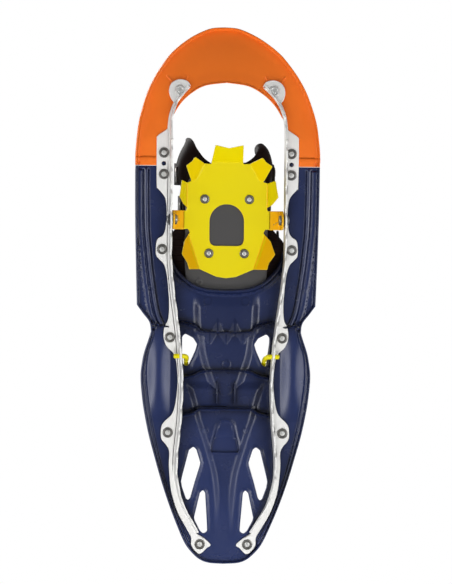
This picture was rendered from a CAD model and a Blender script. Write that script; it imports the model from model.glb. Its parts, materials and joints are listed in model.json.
"""Snowshoe: orange nose, navy deck, toothed rails, hinged binding, heel strap and heel lifter.

The snowshoe lies level with its nose to +Y, its right side to +X and its upper side to +Z.
The tips of the rail teeth are at Z = 0 and the camera looks up at the underside.
Lengths are in mm; meshes are scaled to metres when they are made.  Materials, lights and
camera are in metres.  A "half" line is the part of a symmetric line on the +X side.
"""
import json
import math

import bmesh
import bpy
import numpy as np
from mathutils import Matrix, Vector
from mathutils.geometry import delaunay_2d_cdt

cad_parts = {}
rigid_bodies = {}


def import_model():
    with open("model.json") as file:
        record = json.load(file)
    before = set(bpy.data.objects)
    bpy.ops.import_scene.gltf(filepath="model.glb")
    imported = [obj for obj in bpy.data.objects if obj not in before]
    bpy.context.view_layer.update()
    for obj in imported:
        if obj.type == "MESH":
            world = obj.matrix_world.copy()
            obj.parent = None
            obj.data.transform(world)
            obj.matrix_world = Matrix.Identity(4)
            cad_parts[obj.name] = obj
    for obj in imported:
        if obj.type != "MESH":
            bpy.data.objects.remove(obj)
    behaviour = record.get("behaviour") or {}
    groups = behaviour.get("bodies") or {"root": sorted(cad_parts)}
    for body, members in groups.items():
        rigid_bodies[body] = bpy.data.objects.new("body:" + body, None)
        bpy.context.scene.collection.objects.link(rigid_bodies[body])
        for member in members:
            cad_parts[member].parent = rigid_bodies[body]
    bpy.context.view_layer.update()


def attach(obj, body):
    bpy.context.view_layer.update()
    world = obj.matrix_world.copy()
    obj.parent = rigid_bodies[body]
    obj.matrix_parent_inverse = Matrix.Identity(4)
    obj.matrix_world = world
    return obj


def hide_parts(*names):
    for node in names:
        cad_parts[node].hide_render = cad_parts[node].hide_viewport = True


for old in list(bpy.data.objects):
    bpy.data.objects.remove(old, do_unlink=True)

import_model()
MM = 0.001
SIDES = (("left", -1), ("right", 1))

# ------------------------------------------------------------------ driving dimensions
RAIL_TOP = 24.0
GAUGE = 2.0                 # sheet thickness of the rails
DECK_Z = 24.3               # underside of the deck and nose sheets
DECK_T = 3.0
NOSE_T = 3.4
LIP = 4.5                   # depth of the outer lip
SEAM_Y = 146.0              # joint between nose and deck
SEAM_GAP = 0.2              # on each side of the joint
NOSE_START, NOSE_RISE, FRONT_Y = 150.0, 56.0, 305.0
TAIL_START, TAIL_RISE, REAR_Y = -195.0, 10.0, -305.0
RIVET_HOLE_R = 3.2
PEG_X, PEG_Y = 72.7, 148.4  # locating pegs in the rail flanges
PIVOT_Y, PIVOT_Z = 85.0, 13.0
LIFT_Y, LIFT_Z = -69.7, 14.0
STRAP_Y, STRAP_Z = 62.0, 52.0
STRAP_T = 2.2
TOE_Y, INSTEP_Y = 137.0, 100.0
WAIST = 5.5                 # how far the toe wings draw in beside the instep
CRAMPON_TOP, CRAMPON_T = 28.4, 2.0
CRAMPON_LOW = CRAMPON_TOP - CRAMPON_T
BASE_Z, BASE_T = 28.8, 4.0
BASE_TOP = BASE_Z + BASE_T

# Plan outlines: (x, y) of the +X half.
NOSE_OUTER = [
    (0, 305), (16, 303.5), (33.5, 296), (47.5, 287), (58.5, 278), (67, 269), (80, 250.5),
    (89.5, 232.5), (96, 214.5), (101, 196), (103.5, 178), (105, 160), (105, 146)]
NOSE_INNER = [(65.4, 146), (65.6, 190), (60.5, 205), (52, 218), (40, 229), (24, 237.5), (0, 241)]
DECK_SIDE = [
    (105, 146), (104.7, 105), (104, 69), (102.7, 24), (101.5, -12), (94.5, -21.5), (87, -31.5),
    (85.2, -42), (87.5, -50), (93, -67), (96, -85), (96.3, -97), (95, -112.5), (92.5, -130.5),
    (87, -157.5), (79.5, -185), (71.5, -212), (62, -239.5), (51, -266.5), (43, -283),
    (34.5, -293.5), (26, -300.5), (16, -304), (0, -305)]
DECK_INNER = [
    (66.4, 146), (66.4, 92), (65.6, 60), (62.5, 46), (57, 32), (48, 20.5), (36, 12), (20, 7.5),
    (0, 6.5)]
# Inner face of the standing rail wall, from front to rear.
RAIL_WALL = [
    (41.8, 235), (50, 226.5), (57.3, 216.5), (62.5, 203), (64.3, 190), (64.3, 40), (61.8, 13.6),
    (59, -9), (56.5, -26), (53.4, -51), (51.9, -68), (50.2, -90), (50, -112), (50.7, -129),
    (51.7, -146), (53.9, -168), (55.2, -187), (55, -206), (52, -222), (46.4, -239),
    (37.4, -255), (29, -269)]
# Outer edge of the rail flange, from front to rear.
RAIL_FLANGE = [
    (41, 236.5), (45, 242.5), (54.5, 244.5), (63.2, 240), (66.3, 231.5), (64.5, 222.5),
    (60.8, 216.6), (63.4, 209), (66.4, 198), (67.6, 189), (79.5, 180), (81, 172.5),
    (80.5, 124.5), (79, 120), (73, 113), (70, 106.5), (68.8, 91.5), (70, 75), (73, 67),
    (78.5, 63), (80.5, 57), (80.5, 45), (76.5, 39.5), (71.5, 34), (68, 22), (66, 4), (65, -13),
    (66, -28), (70, -37), (71, -48), (67.5, -58.5), (60, -66), (57, -73), (55.5, -82),
    (54.4, -100), (57, -124.5), (61, -136), (69, -144), (72.5, -150.5), (72.5, -163),
    (66.5, -171), (63.2, -178.5), (63.4, -195), (60.5, -222.5), (53, -246), (42.5, -265),
    (37, -275), (36.5, -284), (31.5, -291), (26, -293.8), (18.5, -287), (14.4, -283.5), (22, -276)]
RAIL_RIVETS = [(53.8, 232.0), (72.7, 160.6), (72.6, 136.3), (73.9, 51.1), (63.9, -48.6),
               (65.2, -156.5), (27.0, -283.0)]
# Openings of the deck, closed loops.
BAIL_SLOT = [(46.5, -44), (37, -49), (32.5, -56), (34.5, -63), (39, -73), (42, -79.5),
             (45.5, -81), (48.6, -78), (49.6, -68), (49.6, -48)]
MIDDLE_SLOT = [(35.5, -172), (32, -175.5), (27.5, -190), (28, -193.5), (33.5, -211.5),
               (38.5, -230), (41, -233), (43.3, -231), (48, -218), (49, -211.5), (48, -206),
               (40.5, -176)]
REAR_SLOT = [(24, -221), (21.5, -224.5), (19, -258.5), (18.5, -268), (23, -271), (27, -267),
             (33, -255.5), (33.6, -252), (27.5, -224.5)]
# Relief lines of the deck underside.
CROSS_RIBS = [[(52, -31), (40.5, -33.5), (34, -36.5), (29, -41), (20, -42.3), (0, -42.5)],
              [(48.8, -93), (37.5, -91), (28.5, -86.5), (18, -85.7), (0, -85.5)],
              [(49, -136), (37.5, -133.5), (30, -129.5), (20, -129), (0, -129)]]
HEEL_U = [(30, -4), (29, -39), (26.5, -66), (20, -88), (13, -107), (6, -115.5), (0, -118)]
SPINE = [(44.5, -96), (38, -112), (34, -126), (30, -142), (25, -156.5), (16.8, -183),
         (11.3, -204), (8.4, -230), (8.2, -262)]
TAIL_BORDER = [
    (80.5, -40), (83.5, -52), (88.3, -66), (90, -80.5), (90, -96.5), (88.3, -113.5),
    (85.5, -132.5), (81.0, -155.5), (75, -181.5), (67.2, -210), (57.5, -238), (46.5, -263),
    (38, -281)]
WING_RIDGE = [(92.6, 141), (92.3, 107.5), (91.3, 73.5), (89.3, 52), (87, 30.5), (84, 9),
              (80.8, -11), (77.5, -24), (73.5, -33)]
WAIST_RIB = [(84, -31.0), (79, -33.5), (73, -36.0), (66, -36.5)]
WAIST_KNOB = (83.2, -35.8)
ARCH = [(0, -132.6), (6, -133.5), (12.0, -138), (15.5, -147), (17.4, -163), (18.0, -179)]
POCKET_HALF = [(0, -141.5), (6, -142.5), (9.5, -147), (13.5, -163), (16.6, -176.5),
               (15.0, -178.5), (0, -178.6)]
# Sloping gussets: (high end, low end).
GUSSETS = [((9.8, -41), (9.8, -24)), ((18.9, -43), (18.9, -55)), ((0, -44), (0, -55))]
# Faint raised rings: (x, y, radius).
FAINT_RINGS = [(*WAIST_KNOB, 1.5), (21.5, -7.5, 4.4), (0.0, -78.0, 4.6), (23.2, -153.8, 3.2),
               (0.0, -265.0, 3.0), (87.3, 5.8, 2.6)]
# Short raised strokes of the nose underside.
NOSE_STROKES = [[(63.6, 243.6), (66.6, 247.2)], [(46.6, 244.6), (44.8, 248.0)]]
CRAMPON = [
    (0, 166.3), (16, 169.8), (17.8, 152), (18.5, 148.5), (26, 149), (38.5, 156), (42, 151),
    (49, 146), (41, 128.5), (46, 127), (53.5, 130), (54.5, 121), (56.2, 111), (50.5, 102.5),
    (45.5, 99), (46.5, 95.5), (50, 95.2), (50, 74.6), (44, 74.5), (42, 70.5), (49, 61),
    (53, 46), (46.5, 36.5), (44.3, 28.8), (30.5, 29), (21.5, 25), (11, 20.5), (0, 19)]
CRAMPON_RIVETS = [(25.4, 108.5), (20.2, 47.0)]
BASE = [(0, 146), (24, 145), (38, 136), (46, 120), (47, 60), (46, 22), (38, 7), (26, 1), (0, -1)]
WING_RIVETS = [(40.0, 118.0), (40.0, 70.0)]


# ------------------------------------------------------------------ plane geometry
def lift(y):
    """How far the nose and the tail curve up."""
    y = np.asarray(y, float)
    nose_share = np.clip((y - NOSE_START) / (FRONT_Y - NOSE_START), 0, 2)
    tail_share = np.clip((TAIL_START - y) / (TAIL_START - REAR_Y), 0, 2)
    return NOSE_RISE * nose_share ** 2 + TAIL_RISE * tail_share ** 2


def unit(vectors):
    return vectors / np.maximum(np.linalg.norm(vectors, axis=-1, keepdims=True), 1e-9)


def run_length(line):
    """Distance along the line to each of its points."""
    return np.concatenate([[0], np.cumsum(np.linalg.norm(np.diff(line, axis=0), axis=1))])


def resample(line, step, closed=False):
    line = np.asarray(line, float)
    if closed:
        line = np.vstack([line, line[:1]])
    run = run_length(line)
    count = max(2, int(round(run[-1] / step)))
    stations = np.linspace(0, run[-1], count + 1)
    even = np.stack([np.interp(stations, run, line[:, k]) for k in range(line.shape[1])], 1)
    return even[:-1] if closed else even


def curve(points, step):
    """Catmull-Rom curve, resampled evenly at the given step."""
    points = np.asarray(points, float)
    last = len(points) - 1
    smooth = []
    for i in range(last):
        before, start, end, after = points[[max(0, i - 1), i, i + 1, min(last, i + 2)]]
        for t in np.arange(0, 1, 0.05):
            smooth.append(0.5 * (2 * start + (end - before) * t
                                 + (2 * before - 5 * start + 4 * end - after) * t * t
                                 + (3 * start - before - 3 * end + after) * t ** 3))
    smooth.append(points[-1])
    return resample(np.array(smooth), step)


def straight(points, step, closed=False):
    """Resample that keeps every corner."""
    points = [np.asarray(point, float) for point in points]
    if closed:
        points.append(points[0])
    line = []
    for start, end in zip(points, points[1:]):
        count = max(1, int(round(np.linalg.norm(end - start) / step)))
        line += [start + (end - start) * i / count for i in range(count)]
    if not closed:
        line.append(points[-1])
    return np.array(line)


def rounded(points, radius, step):
    """Closed loop with its corners rounded."""
    points = [np.asarray(point, float) for point in points]
    line = []
    for i, corner in enumerate(points):
        back, ahead = points[i - 1] - corner, points[(i + 1) % len(points)] - corner
        back_length, ahead_length = np.linalg.norm(back), np.linalg.norm(ahead)
        angle = math.acos(max(-1, min(1, float(back @ ahead) / back_length / ahead_length)))
        cutoff = min(radius / max(math.tan(angle / 2), 0.1), back_length * 0.45,
                     ahead_length * 0.45)
        start = corner + back / back_length * cutoff
        end = corner + ahead / ahead_length * cutoff
        for t in np.linspace(0, 1, 6):
            line.append((1 - t) ** 2 * start + 2 * t * (1 - t) * corner + t * t * end)
    return resample(np.array(line), step, True)


def offset(line, distance):
    """The line moved to its left, looking along it."""
    line = np.asarray(line, float)
    along = unit(np.gradient(line, axis=0))
    return line + np.stack([-along[:, 1], along[:, 0]], 1) * distance


def flip_x(line):
    return np.asarray(line, float) * np.array([-1, 1])


def fold_x(points):
    """The points with those at -X brought over to +X."""
    folded = points.copy()
    folded[:, 0] = np.abs(folded[:, 0])
    return folded


def clip_y(line, low=-1e9, high=1e9):
    line = np.array(line, float)
    line[:, 1] = np.clip(line[:, 1], low, high)
    return line


def sym(half):
    """Closed loop from a half line; ends on the centre line are not doubled."""
    half = np.asarray(half, float)
    other = flip_x(half)[::-1]
    if abs(half[-1, 0]) < 1e-6:
        other = other[1:]
    if abs(half[0, 0]) < 1e-6:
        other = other[:-1]
    return np.vstack([half, other])


def circle(x, y, radius, count=28):
    angle = (np.arange(count) + 0.5) * 2 * math.pi / count
    return np.stack([x + radius * np.cos(angle), y + radius * np.sin(angle)], 1)


def paired_circles(places, radius):
    return [circle(s * x, y, radius) for x, y in places for s in (1, -1)]


def x_at(half, y):
    """X of a half line that runs from front to rear, at the given Y."""
    return np.interp(y, half[::-1, 1], half[::-1, 0])


def inside(loop, points):
    x, y = points[:, 0], points[:, 1]
    hit = np.zeros(len(points), bool)
    last = loop[-1]
    for point in loop:
        if point[1] != last[1]:
            hit ^= ((point[1] > y) != (last[1] > y)) & (
                x < (last[0] - point[0]) * (y - point[1]) / (last[1] - point[1]) + point[0])
        last = point
    return hit


def gaps(points, line, closed):
    """For each segment: the vectors from it to the points, and their squared lengths."""
    line = np.asarray(line, float)
    if closed:
        line = np.vstack([line, line[:1]])
    for start, end in zip(line, line[1:]):
        along = end - start
        share = np.clip(((points - start) @ along) / max(float(along @ along), 1e-12), 0, 1)
        gap = points - (start + share[:, None] * along)
        yield gap, np.einsum("ij,ij->i", gap, gap)


def dist(points, line, closed=False):
    """Distance from points to a line."""
    best = np.full(len(points), 1e9)
    for _, square in gaps(points, line, closed):
        np.minimum(best, square, out=best)
    return np.sqrt(best)


def away(points, loop):
    """Distance from a loop and the unit vector that leads away from it."""
    best = np.full(len(points), 1e9)
    vector = np.zeros((len(points), 2))
    for gap, square in gaps(points, loop, True):
        closer = square < best
        best[closer], vector[closer] = square[closer], gap[closer]
    best = np.sqrt(best)
    return best, vector / np.maximum(best, 1e-6)[:, None]


# ------------------------------------------------------------------ relief profiles
def rise(value, start, end):
    """Smooth step from 0 to 1."""
    share = np.clip((value - start) / (end - start), 0, 1)
    return share * share * (3 - 2 * share)


def fall(value, start, end):
    return 1 - rise(value, start, end)


def bead(distance, half_width):
    """Rounded ridge."""
    return np.sqrt(np.clip(1 - (distance / half_width) ** 2, 0, 1))


def soft(distance, half_width):
    """Cosine-shaped ridge."""
    return 0.5 * (1 + np.cos(math.pi * np.clip(distance / half_width, 0, 1)))


def bars(position, pitch, half_width):
    """Cosine-shaped ridges repeated at a pitch."""
    return soft(np.abs((position % pitch) - pitch / 2), half_width)


def upright(distance, half_width, run=0.5):
    """Upright rib with slightly drafted sides."""
    return np.clip((half_width + run - distance) / run, 0, 1)


def round_edge(distance, radius):
    """Drop of a surface near an edge, for an edge of the given radius."""
    short = np.clip(radius - distance, 0, radius)
    return radius - np.sqrt(np.maximum(radius * radius - short * short, 0))


# ------------------------------------------------------------------ objects
def make(name, shape, material, smooth=35):
    """Object from (vertices, faces) or (vertices, faces, vertex normals)."""
    verts, faces, *normals = shape
    mesh = bpy.data.meshes.new(name)
    mesh.from_pydata((np.asarray(verts, float) * MM).tolist(), [], faces)
    bm = bmesh.new()
    bm.from_mesh(mesh)
    bmesh.ops.remove_doubles(bm, verts=bm.verts, dist=1e-7)
    bmesh.ops.recalc_face_normals(bm, faces=bm.faces)
    bm.to_mesh(mesh)
    bm.free()
    mesh.polygons.foreach_set("use_smooth", [True] * len(mesh.polygons))
    # Merged points would put the given normals on the wrong vertices.
    if normals and len(normals[0]) == len(mesh.vertices):
        mesh.normals_split_custom_set_from_vertices(normals[0].tolist())
    else:
        mesh.set_sharp_from_angle(angle=math.radians(smooth))
    mesh.update()
    obj = bpy.data.objects.new(name, mesh)
    bpy.context.scene.collection.objects.link(obj)
    mesh.materials.append(material)
    return obj


def bevel(obj, width, segments, angle):
    mod = obj.modifiers.new("edge", "BEVEL")
    mod.width = width * MM
    mod.segments = segments
    mod.limit_method = "ANGLE"
    mod.angle_limit = math.radians(angle)
    mod.harden_normals = False
    return obj


def place(obj, body, replaced=None):
    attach(obj, body)
    if replaced:
        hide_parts(replaced)


# ------------------------------------------------------------------ sheets with relief
def box_near(points, hole, margin):
    """Whether each point lies in a square around the hole."""
    return np.abs(points - hole.mean(0)).max(1) < np.ptp(hole, axis=0).max() / 2 + margin


def clear_points(points, loops, gap):
    """The points that lie in the sheet, more than the gap from its borders."""
    within = inside(loops[0], points)
    for hole in loops[1:]:
        within &= ~inside(hole, points)
    points = points[within]
    distance = dist(points, loops[0], True)
    for hole in loops[1:]:
        near = box_near(points, hole, 8)
        distance[near] = np.minimum(distance[near], dist(points[near], hole, True))
    return points[distance > gap]


def plan_points(loops, step, rings, lines, extra):
    """Border points, feature points and a triangular grid that fills the rest."""
    free = []
    for ring in rings:
        for loop in loops:
            closed = np.vstack([loop[-1:], loop, loop[:1]])
            free += [offset(closed, sign * ring)[1:-1] for sign in (1, -1)]
    free += [offset(line, distance) for line, distances in lines for distance in distances]
    free = clear_points(np.vstack(free + list(extra)), loops, min(rings) * 0.9)
    cells = np.round(free / 0.2).astype(int)
    free = free[np.sort(np.unique(cells, axis=0, return_index=True)[1])]
    low, high = loops[0].min(0), loops[0].max(0)
    columns = int((high[0] - low[0]) / step) + 1
    rows = int((high[1] - low[1]) / (step * 0.866)) + 1
    col, row = np.meshgrid(np.arange(columns), np.arange(rows))
    grid = np.stack([low[0] + (col + 0.5 * (row % 2)) * step, low[1] + row * step * 0.866], -1)
    grid = clear_points(grid.reshape(-1, 2), loops, max(step * 0.55, max(rings) + 0.4))
    # Grid points that crowd the feature points go.
    size = step * 0.6
    crowded = {(i + di, j + dj) for i, j in np.floor(free / size).astype(int)
               for di, dj in ((0, 0), (1, 0), (-1, 0), (0, 1), (0, -1))}
    grid = grid[[(i, j) not in crowded for i, j in np.floor(grid / size).astype(int)]]
    return np.vstack(loops + [free, grid])


def triangulate(points, loops):
    edges, count = [], 0
    for loop in loops:
        size = len(loop)
        edges += [(count + i, count + (i + 1) % size) for i in range(size)]
        count += size
    flat, _, tris, *_ = delaunay_2d_cdt([Vector(p) for p in points], edges, [], 0, 1e-5, False)
    flat, tris = np.array([tuple(v) for v in flat]), np.array(tris)
    middle = flat[tris].mean(1)
    within = inside(loops[0], middle)
    for hole in loops[1:]:
        near = box_near(middle, hole, 3)
        within[near] &= ~inside(hole, middle[near])
    tris = tris[within]
    used = np.unique(tris)
    return flat[used], np.searchsorted(used, tris)


def border_distance(flat, loops):
    """Distance to the nearest border and the unit vector that leads away from it."""
    distance, lead = away(flat, loops[0])
    for hole in loops[1:]:
        near = np.nonzero(box_near(flat, hole, 12))[0]
        gap, vector = away(flat[near], hole)
        closer = gap < distance[near]
        distance[near[closer]], lead[near[closer]] = gap[closer], vector[closer]
    return distance, lead


def rim_directions(flat, rim, loops):
    """Outward direction in plan of the points on the rim."""
    outward = np.zeros((len(flat), 2))
    closest = np.full(len(flat), 1e9)
    for k, loop in enumerate(loops):
        reach = 3 if len(loop) > 60 else 1
        along = unit(np.roll(loop, -reach, axis=0) - np.roll(loop, reach, axis=0))
        ahead = np.roll(loop, -1, axis=0)
        area = float(np.sum(loop[:, 0] * ahead[:, 1] - ahead[:, 0] * loop[:, 1]))
        sign = (1.0 if area > 0 else -1.0) * (-1.0 if k else 1.0)
        normal = np.stack([along[:, 1], -along[:, 0]], 1) * sign
        for i in np.nonzero(rim)[0]:
            gap = np.abs(loop - flat[i]).sum(1)
            j = np.argmin(gap)
            if gap[j] < closest[i]:
                closest[i] = gap[j]
                outward[i] = normal[j]
    return outward


def sheet(outline, holes, top, bottom, step, rings, lines=(), extra=()):
    """Closed sheet: border loops in plan, with top and bottom heights as functions of
    (points, distance to the border).

    rings are distances from the borders, and lines are (line, offsets), that get points of
    their own so that edges and ridges stay crisp.
    """
    loops = [np.asarray(loop, float) for loop in [outline, *holes]]
    flat, tris = triangulate(plan_points(loops, step, rings, lines, extra), loops)
    edge, lead = border_distance(flat, loops)
    rim = edge < 1e-3
    outward = rim_directions(flat, rim, loops)
    reach = 0.18            # half the span of the slope measurement
    normals = []
    for height, sign in ((top, 1.0), (bottom, -1.0)):
        slopes = []
        for delta in (np.array((reach, 0.0)), np.array((0.0, reach))):
            ahead = height(flat + delta, np.maximum(0.0, edge + lead @ delta))
            behind = height(flat - delta, np.maximum(0.0, edge - lead @ delta))
            slopes.append((ahead - behind) / (2 * reach))
        normal = unit(np.column_stack([-slopes[0] * sign, -slopes[1] * sign,
                                       np.full(len(flat), sign)]))
        normal[rim] = normal[rim] * 0.35
        normal[rim, :2] += outward[rim] * 0.95
        normals.append(unit(normal))
    count = len(flat)
    verts = np.vstack([np.column_stack([flat, top(flat, edge)]),
                       np.column_stack([flat, bottom(flat, edge)])])
    faces = [tuple(tri) for tri in tris] + [tuple(count + tri[::-1]) for tri in tris]
    edges = np.vstack([tris[:, [0, 1]], tris[:, [1, 2]], tris[:, [2, 0]]])
    _, first, uses = np.unique(np.sort(edges, 1), axis=0, return_index=True, return_counts=True)
    for i, j in edges[first[uses == 1]]:
        faces.append((i, count + i, count + j, j))
    return verts, faces, np.vstack(normals)


# ------------------------------------------------------------------ solids
def quads(rows, cols, wrap_rows=False, wrap_cols=True):
    """Faces of a grid of vertices that are numbered row by row."""
    faces = []
    for row in range(rows if wrap_rows else rows - 1):
        here, beyond = row * cols, (row + 1) % rows * cols
        for i in range(cols if wrap_cols else cols - 1):
            j = (i + 1) % cols
            faces.append((here + i, here + j, beyond + j, beyond + i))
    return faces


def end_fans(rows, cols):
    """Fans that close both ends of a tube, round two centre points that follow its vertices."""
    centre, last = rows * cols, (rows - 1) * cols
    return ([(centre, (i + 1) % cols, i) for i in range(cols)]
            + [(centre + 1, last + i, last + (i + 1) % cols) for i in range(cols)])


def turned(profile, count=48, ring=False):
    """Solid turned about Z from (radius, height) pairs; a ring closes its profile on itself."""
    angle = 2 * math.pi * np.arange(count) / count
    verts = np.vstack([np.column_stack([radius * np.cos(angle), radius * np.sin(angle),
                                        np.full(count, height)]) for radius, height in profile])
    rows = len(profile)
    if ring:
        return verts, quads(rows, count, wrap_rows=True)
    verts = np.vstack([verts, (0, 0, profile[0][1]), (0, 0, profile[-1][1])])
    return verts, quads(rows, count) + end_fans(rows, count)


def turned_x(profile, y, z, side, count=40):
    """Solid turned about an axis along X from (radius, |x|) pairs."""
    verts, faces = turned(profile, count)
    return np.column_stack([side * verts[:, 2], verts[:, 0] + y, verts[:, 1] + z]), faces


def merge(shapes):
    verts, faces, start = [], [], 0
    for points, polygons in shapes:
        verts.append(np.asarray(points, float))
        faces += [tuple(int(i) + start for i in polygon) for polygon in polygons]
        start += len(points)
    return np.vstack(verts), faces


def box(low, high):
    verts = [(x, y, z) for x in (low[0], high[0]) for y in (low[1], high[1])
             for z in (low[2], high[2])]
    return np.array(verts, float), [(0, 1, 3, 2), (4, 6, 7, 5), (0, 4, 5, 1), (2, 3, 7, 6),
                                    (0, 2, 6, 4), (1, 5, 7, 3)]


def prism(profile, low, high):
    """Extrusion along the third axis of a profile in the first two."""
    count = len(profile)
    verts = np.array([(x, y, z) for z in (low, high) for x, y in profile], float)
    ends = [tuple(range(count)), tuple(range(2 * count - 1, count - 1, -1))]
    return verts, ends + quads(2, count)


def sweep(path, radius, sides, cap=True):
    """Round bar along a path; the radius is one number or one for each path point."""
    path = np.asarray(path, float)
    angle = 2 * math.pi * np.arange(sides) / sides
    along = unit(np.gradient(path, axis=0))
    side = unit(np.cross(along[0], [0.3, 0.2, 1.0]))
    verts = []
    for point, ahead, size in zip(path, along, np.broadcast_to(radius, len(path))):
        side = unit(side - ahead * (side @ ahead))
        other = np.cross(ahead, side)
        verts.append(point + np.outer(size * np.cos(angle), side)
                     + np.outer(size * np.sin(angle), other))
    faces = quads(len(path), sides)
    if cap:
        verts += [path[:1], path[-1:]]
        faces += end_fans(len(path), sides)
    return np.vstack(verts), faces


def rim_cells(rows, cols):
    """Border cells of a grid, in order round it."""
    return ([(0, j) for j in range(cols)] + [(i, cols - 1) for i in range(1, rows)]
            + [(rows - 1, j) for j in range(cols - 2, -1, -1)]
            + [(i, 0) for i in range(rows - 2, 0, -1)])


def thick_grid(grid, thickness, edge):
    """Closed shell from a (rows, cols, 3) grid of mid-surface points, with rounded rims."""
    grid = np.asarray(grid, float)
    rows, cols = grid.shape[:2]
    down, across = np.gradient(grid, axis=0), np.gradient(grid, axis=1)
    normal = unit(np.cross(down, across))
    half = np.broadcast_to(np.asarray(thickness) / 2.0, (rows, cols))
    verts = [(grid + normal * half[..., None]).reshape(-1, 3),
             (grid - normal * half[..., None]).reshape(-1, 3)]
    size = rows * cols
    faces = []
    for i in range(rows - 1):
        for j in range(cols - 1):
            here = i * cols + j
            quad = (here, here + 1, here + cols + 1, here + cols)
            faces += [quad, tuple(size + k for k in quad[::-1])]
    down /= np.linalg.norm(down, axis=2, keepdims=True) + 1e-9
    across /= np.linalg.norm(across, axis=2, keepdims=True) + 1e-9
    outward = np.zeros_like(grid)
    outward[0] -= down[0]
    outward[-1] += down[-1]
    outward[:, 0] -= across[:, 0]
    outward[:, -1] += across[:, -1]
    cells = rim_cells(rows, cols)
    at = tuple(np.array(cells).T)
    outward = outward[at]
    outward /= np.linalg.norm(outward, axis=1, keepdims=True) + 1e-9
    count = len(cells)
    chain = [[i * cols + j for i, j in cells]]
    for k, angle in enumerate((50, 0, -50)):
        cosine, sine = math.cos(math.radians(angle)), math.sin(math.radians(angle))
        verts.append(grid[at] + normal[at] * (half[at] * sine)[:, None]
                     + outward * (edge * cosine))
        chain.append(range(2 * size + k * count, 2 * size + (k + 1) * count))
    chain.append([size + i for i in chain[0]])
    for upper, lower in zip(chain, chain[1:]):
        for k in range(count):
            j = (k + 1) % count
            faces.append((upper[k], lower[k], lower[j], upper[j]))
    return np.vstack(verts), faces


# ------------------------------------------------------------------ shader graphs
class Graph:
    """Node tree of a material or world.  Inputs take either a socket or a value."""

    def __init__(self, owner):
        owner.use_nodes = True
        self.owner = owner
        self.tree = owner.node_tree

    def plug(self, socket, value):
        if isinstance(value, bpy.types.NodeSocket):
            self.tree.links.new(value, socket)
        else:
            socket.default_value = value

    def node(self, kind, inputs=None, **attributes):
        made = self.tree.nodes.new(kind)
        for key, value in attributes.items():
            setattr(made, key, value)
        for key, value in (inputs or {}).items():
            self.plug(made.inputs[key], value)
        return made

    def ramp(self, value, between=(0.3, 0.7), to=(0.0, 1.0), **attributes):
        return self.node("ShaderNodeMapRange", {
            "Value": value, "From Min": between[0], "From Max": between[1],
            "To Min": to[0], "To Max": to[1]}, **attributes).outputs["Result"]

    def math(self, operation, first, second=0.0):
        return self.node("ShaderNodeMath", {0: first, 1: second}, operation=operation).outputs[0]

    def mix(self, share, base, over):
        base, over = ((*c, 1.0) if isinstance(c, tuple) else c for c in (base, over))
        return self.node("ShaderNodeMix", {0: share, 6: base, 7: over},
                         data_type="RGBA").outputs[2]

    def tint(self, color, mask, amount, over):
        """The colour drawn towards another one where the mask is on."""
        return self.mix(self.math("MULTIPLY", mask, amount), color, over)


class Surface(Graph):
    """New material built on the Principled shader."""

    def __init__(self, name):
        super().__init__(bpy.data.materials.new(name))
        self.shader = self.tree.nodes["Principled BSDF"]
        self.coord = self.node("ShaderNodeTexCoord").outputs["Object"]

    def noise(self, scale, detail=3.0, rough=0.5, stretch=(1, 1, 1)):
        mapping = self.node("ShaderNodeMapping", {"Vector": self.coord, "Scale": stretch})
        return self.node("ShaderNodeTexNoise", {
            "Vector": mapping.outputs["Vector"], "Scale": scale, "Detail": detail,
            "Roughness": rough}).outputs["Fac"]

    def bump(self, height, distance, strength, under=None):
        inputs = {"Strength": strength, "Distance": distance, "Height": height}
        if under is not None:
            inputs["Normal"] = under
        return self.node("ShaderNodeBump", inputs).outputs["Normal"]

    def edge(self):
        """1 on convex edges and 0 on flats."""
        pointiness = self.node("ShaderNodeNewGeometry").outputs["Pointiness"]
        return self.ramp(pointiness, between=(0.515, 0.60))

    def finish(self, color, rough, normal, **others):
        values = {"Base Color": color, "Roughness": rough, "Normal": normal}
        values.update({key.replace("_", " "): value for key, value in others.items()})
        for key, value in values.items():
            self.plug(self.shader.inputs[key], value)
        return self.owner


def scaled(rgb, factor, plus=0.0):
    return tuple(min(1.0, c * factor + plus) for c in rgb)


# ------------------------------------------------------------------ materials
def moulded(name, rgb, rough, grain=0.00004, grain_scale=900.0, shade=0.12, scuff=0.25,
            specular=0.5, edge_light=0.25, crevice=0.0):
    """Moulded plastic: faint mottling, fine grain, rubbed edges, light scratches."""
    g = Surface(name)
    mottle = g.noise(scale=9.0, detail=4.0, rough=0.55)
    color = g.mix(g.ramp(mottle), scaled(rgb, 1 - shade), scaled(rgb, 1 + shade * 0.6))
    fine = g.noise(scale=grain_scale, detail=2.0, rough=0.6)
    scratch = g.noise(scale=60.0, detail=5.0, rough=0.7, stretch=(6.0, 0.35, 1.0))
    mark = g.ramp(scratch, between=(0.63, 0.72))
    pale = scaled(rgb, 1.5, plus=0.03)
    color = g.tint(color, mark, amount=scuff * 0.35, over=pale)
    if edge_light:
        color = g.tint(color, g.edge(), amount=edge_light, over=pale)
    if crevice:
        open_sky = g.node("ShaderNodeAmbientOcclusion", {"Distance": 0.028}, samples=8)
        share = g.ramp(open_sky.outputs["AO"], between=(0.26, 0.82), to=(1 - crevice, 1.0))
        color = g.mix(share, (0.0, 0.0, 0.002), color)
    uneven = g.ramp(g.noise(scale=35.0, detail=4.0), to=(rough - 0.04, rough + 0.05))
    roughness = g.math("ADD", uneven, g.math("MULTIPLY", mark, 0.12 * scuff * 2))
    normal = g.bump(fine, distance=grain, strength=0.6)
    normal = g.bump(g.noise(scale=14.0, detail=2.0), distance=0.0006, strength=0.18, under=normal)
    return g.finish(color, roughness, normal, Specular_IOR_Level=specular, Coat_Weight=0.0,
                    Coat_Roughness=0.15)


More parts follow.
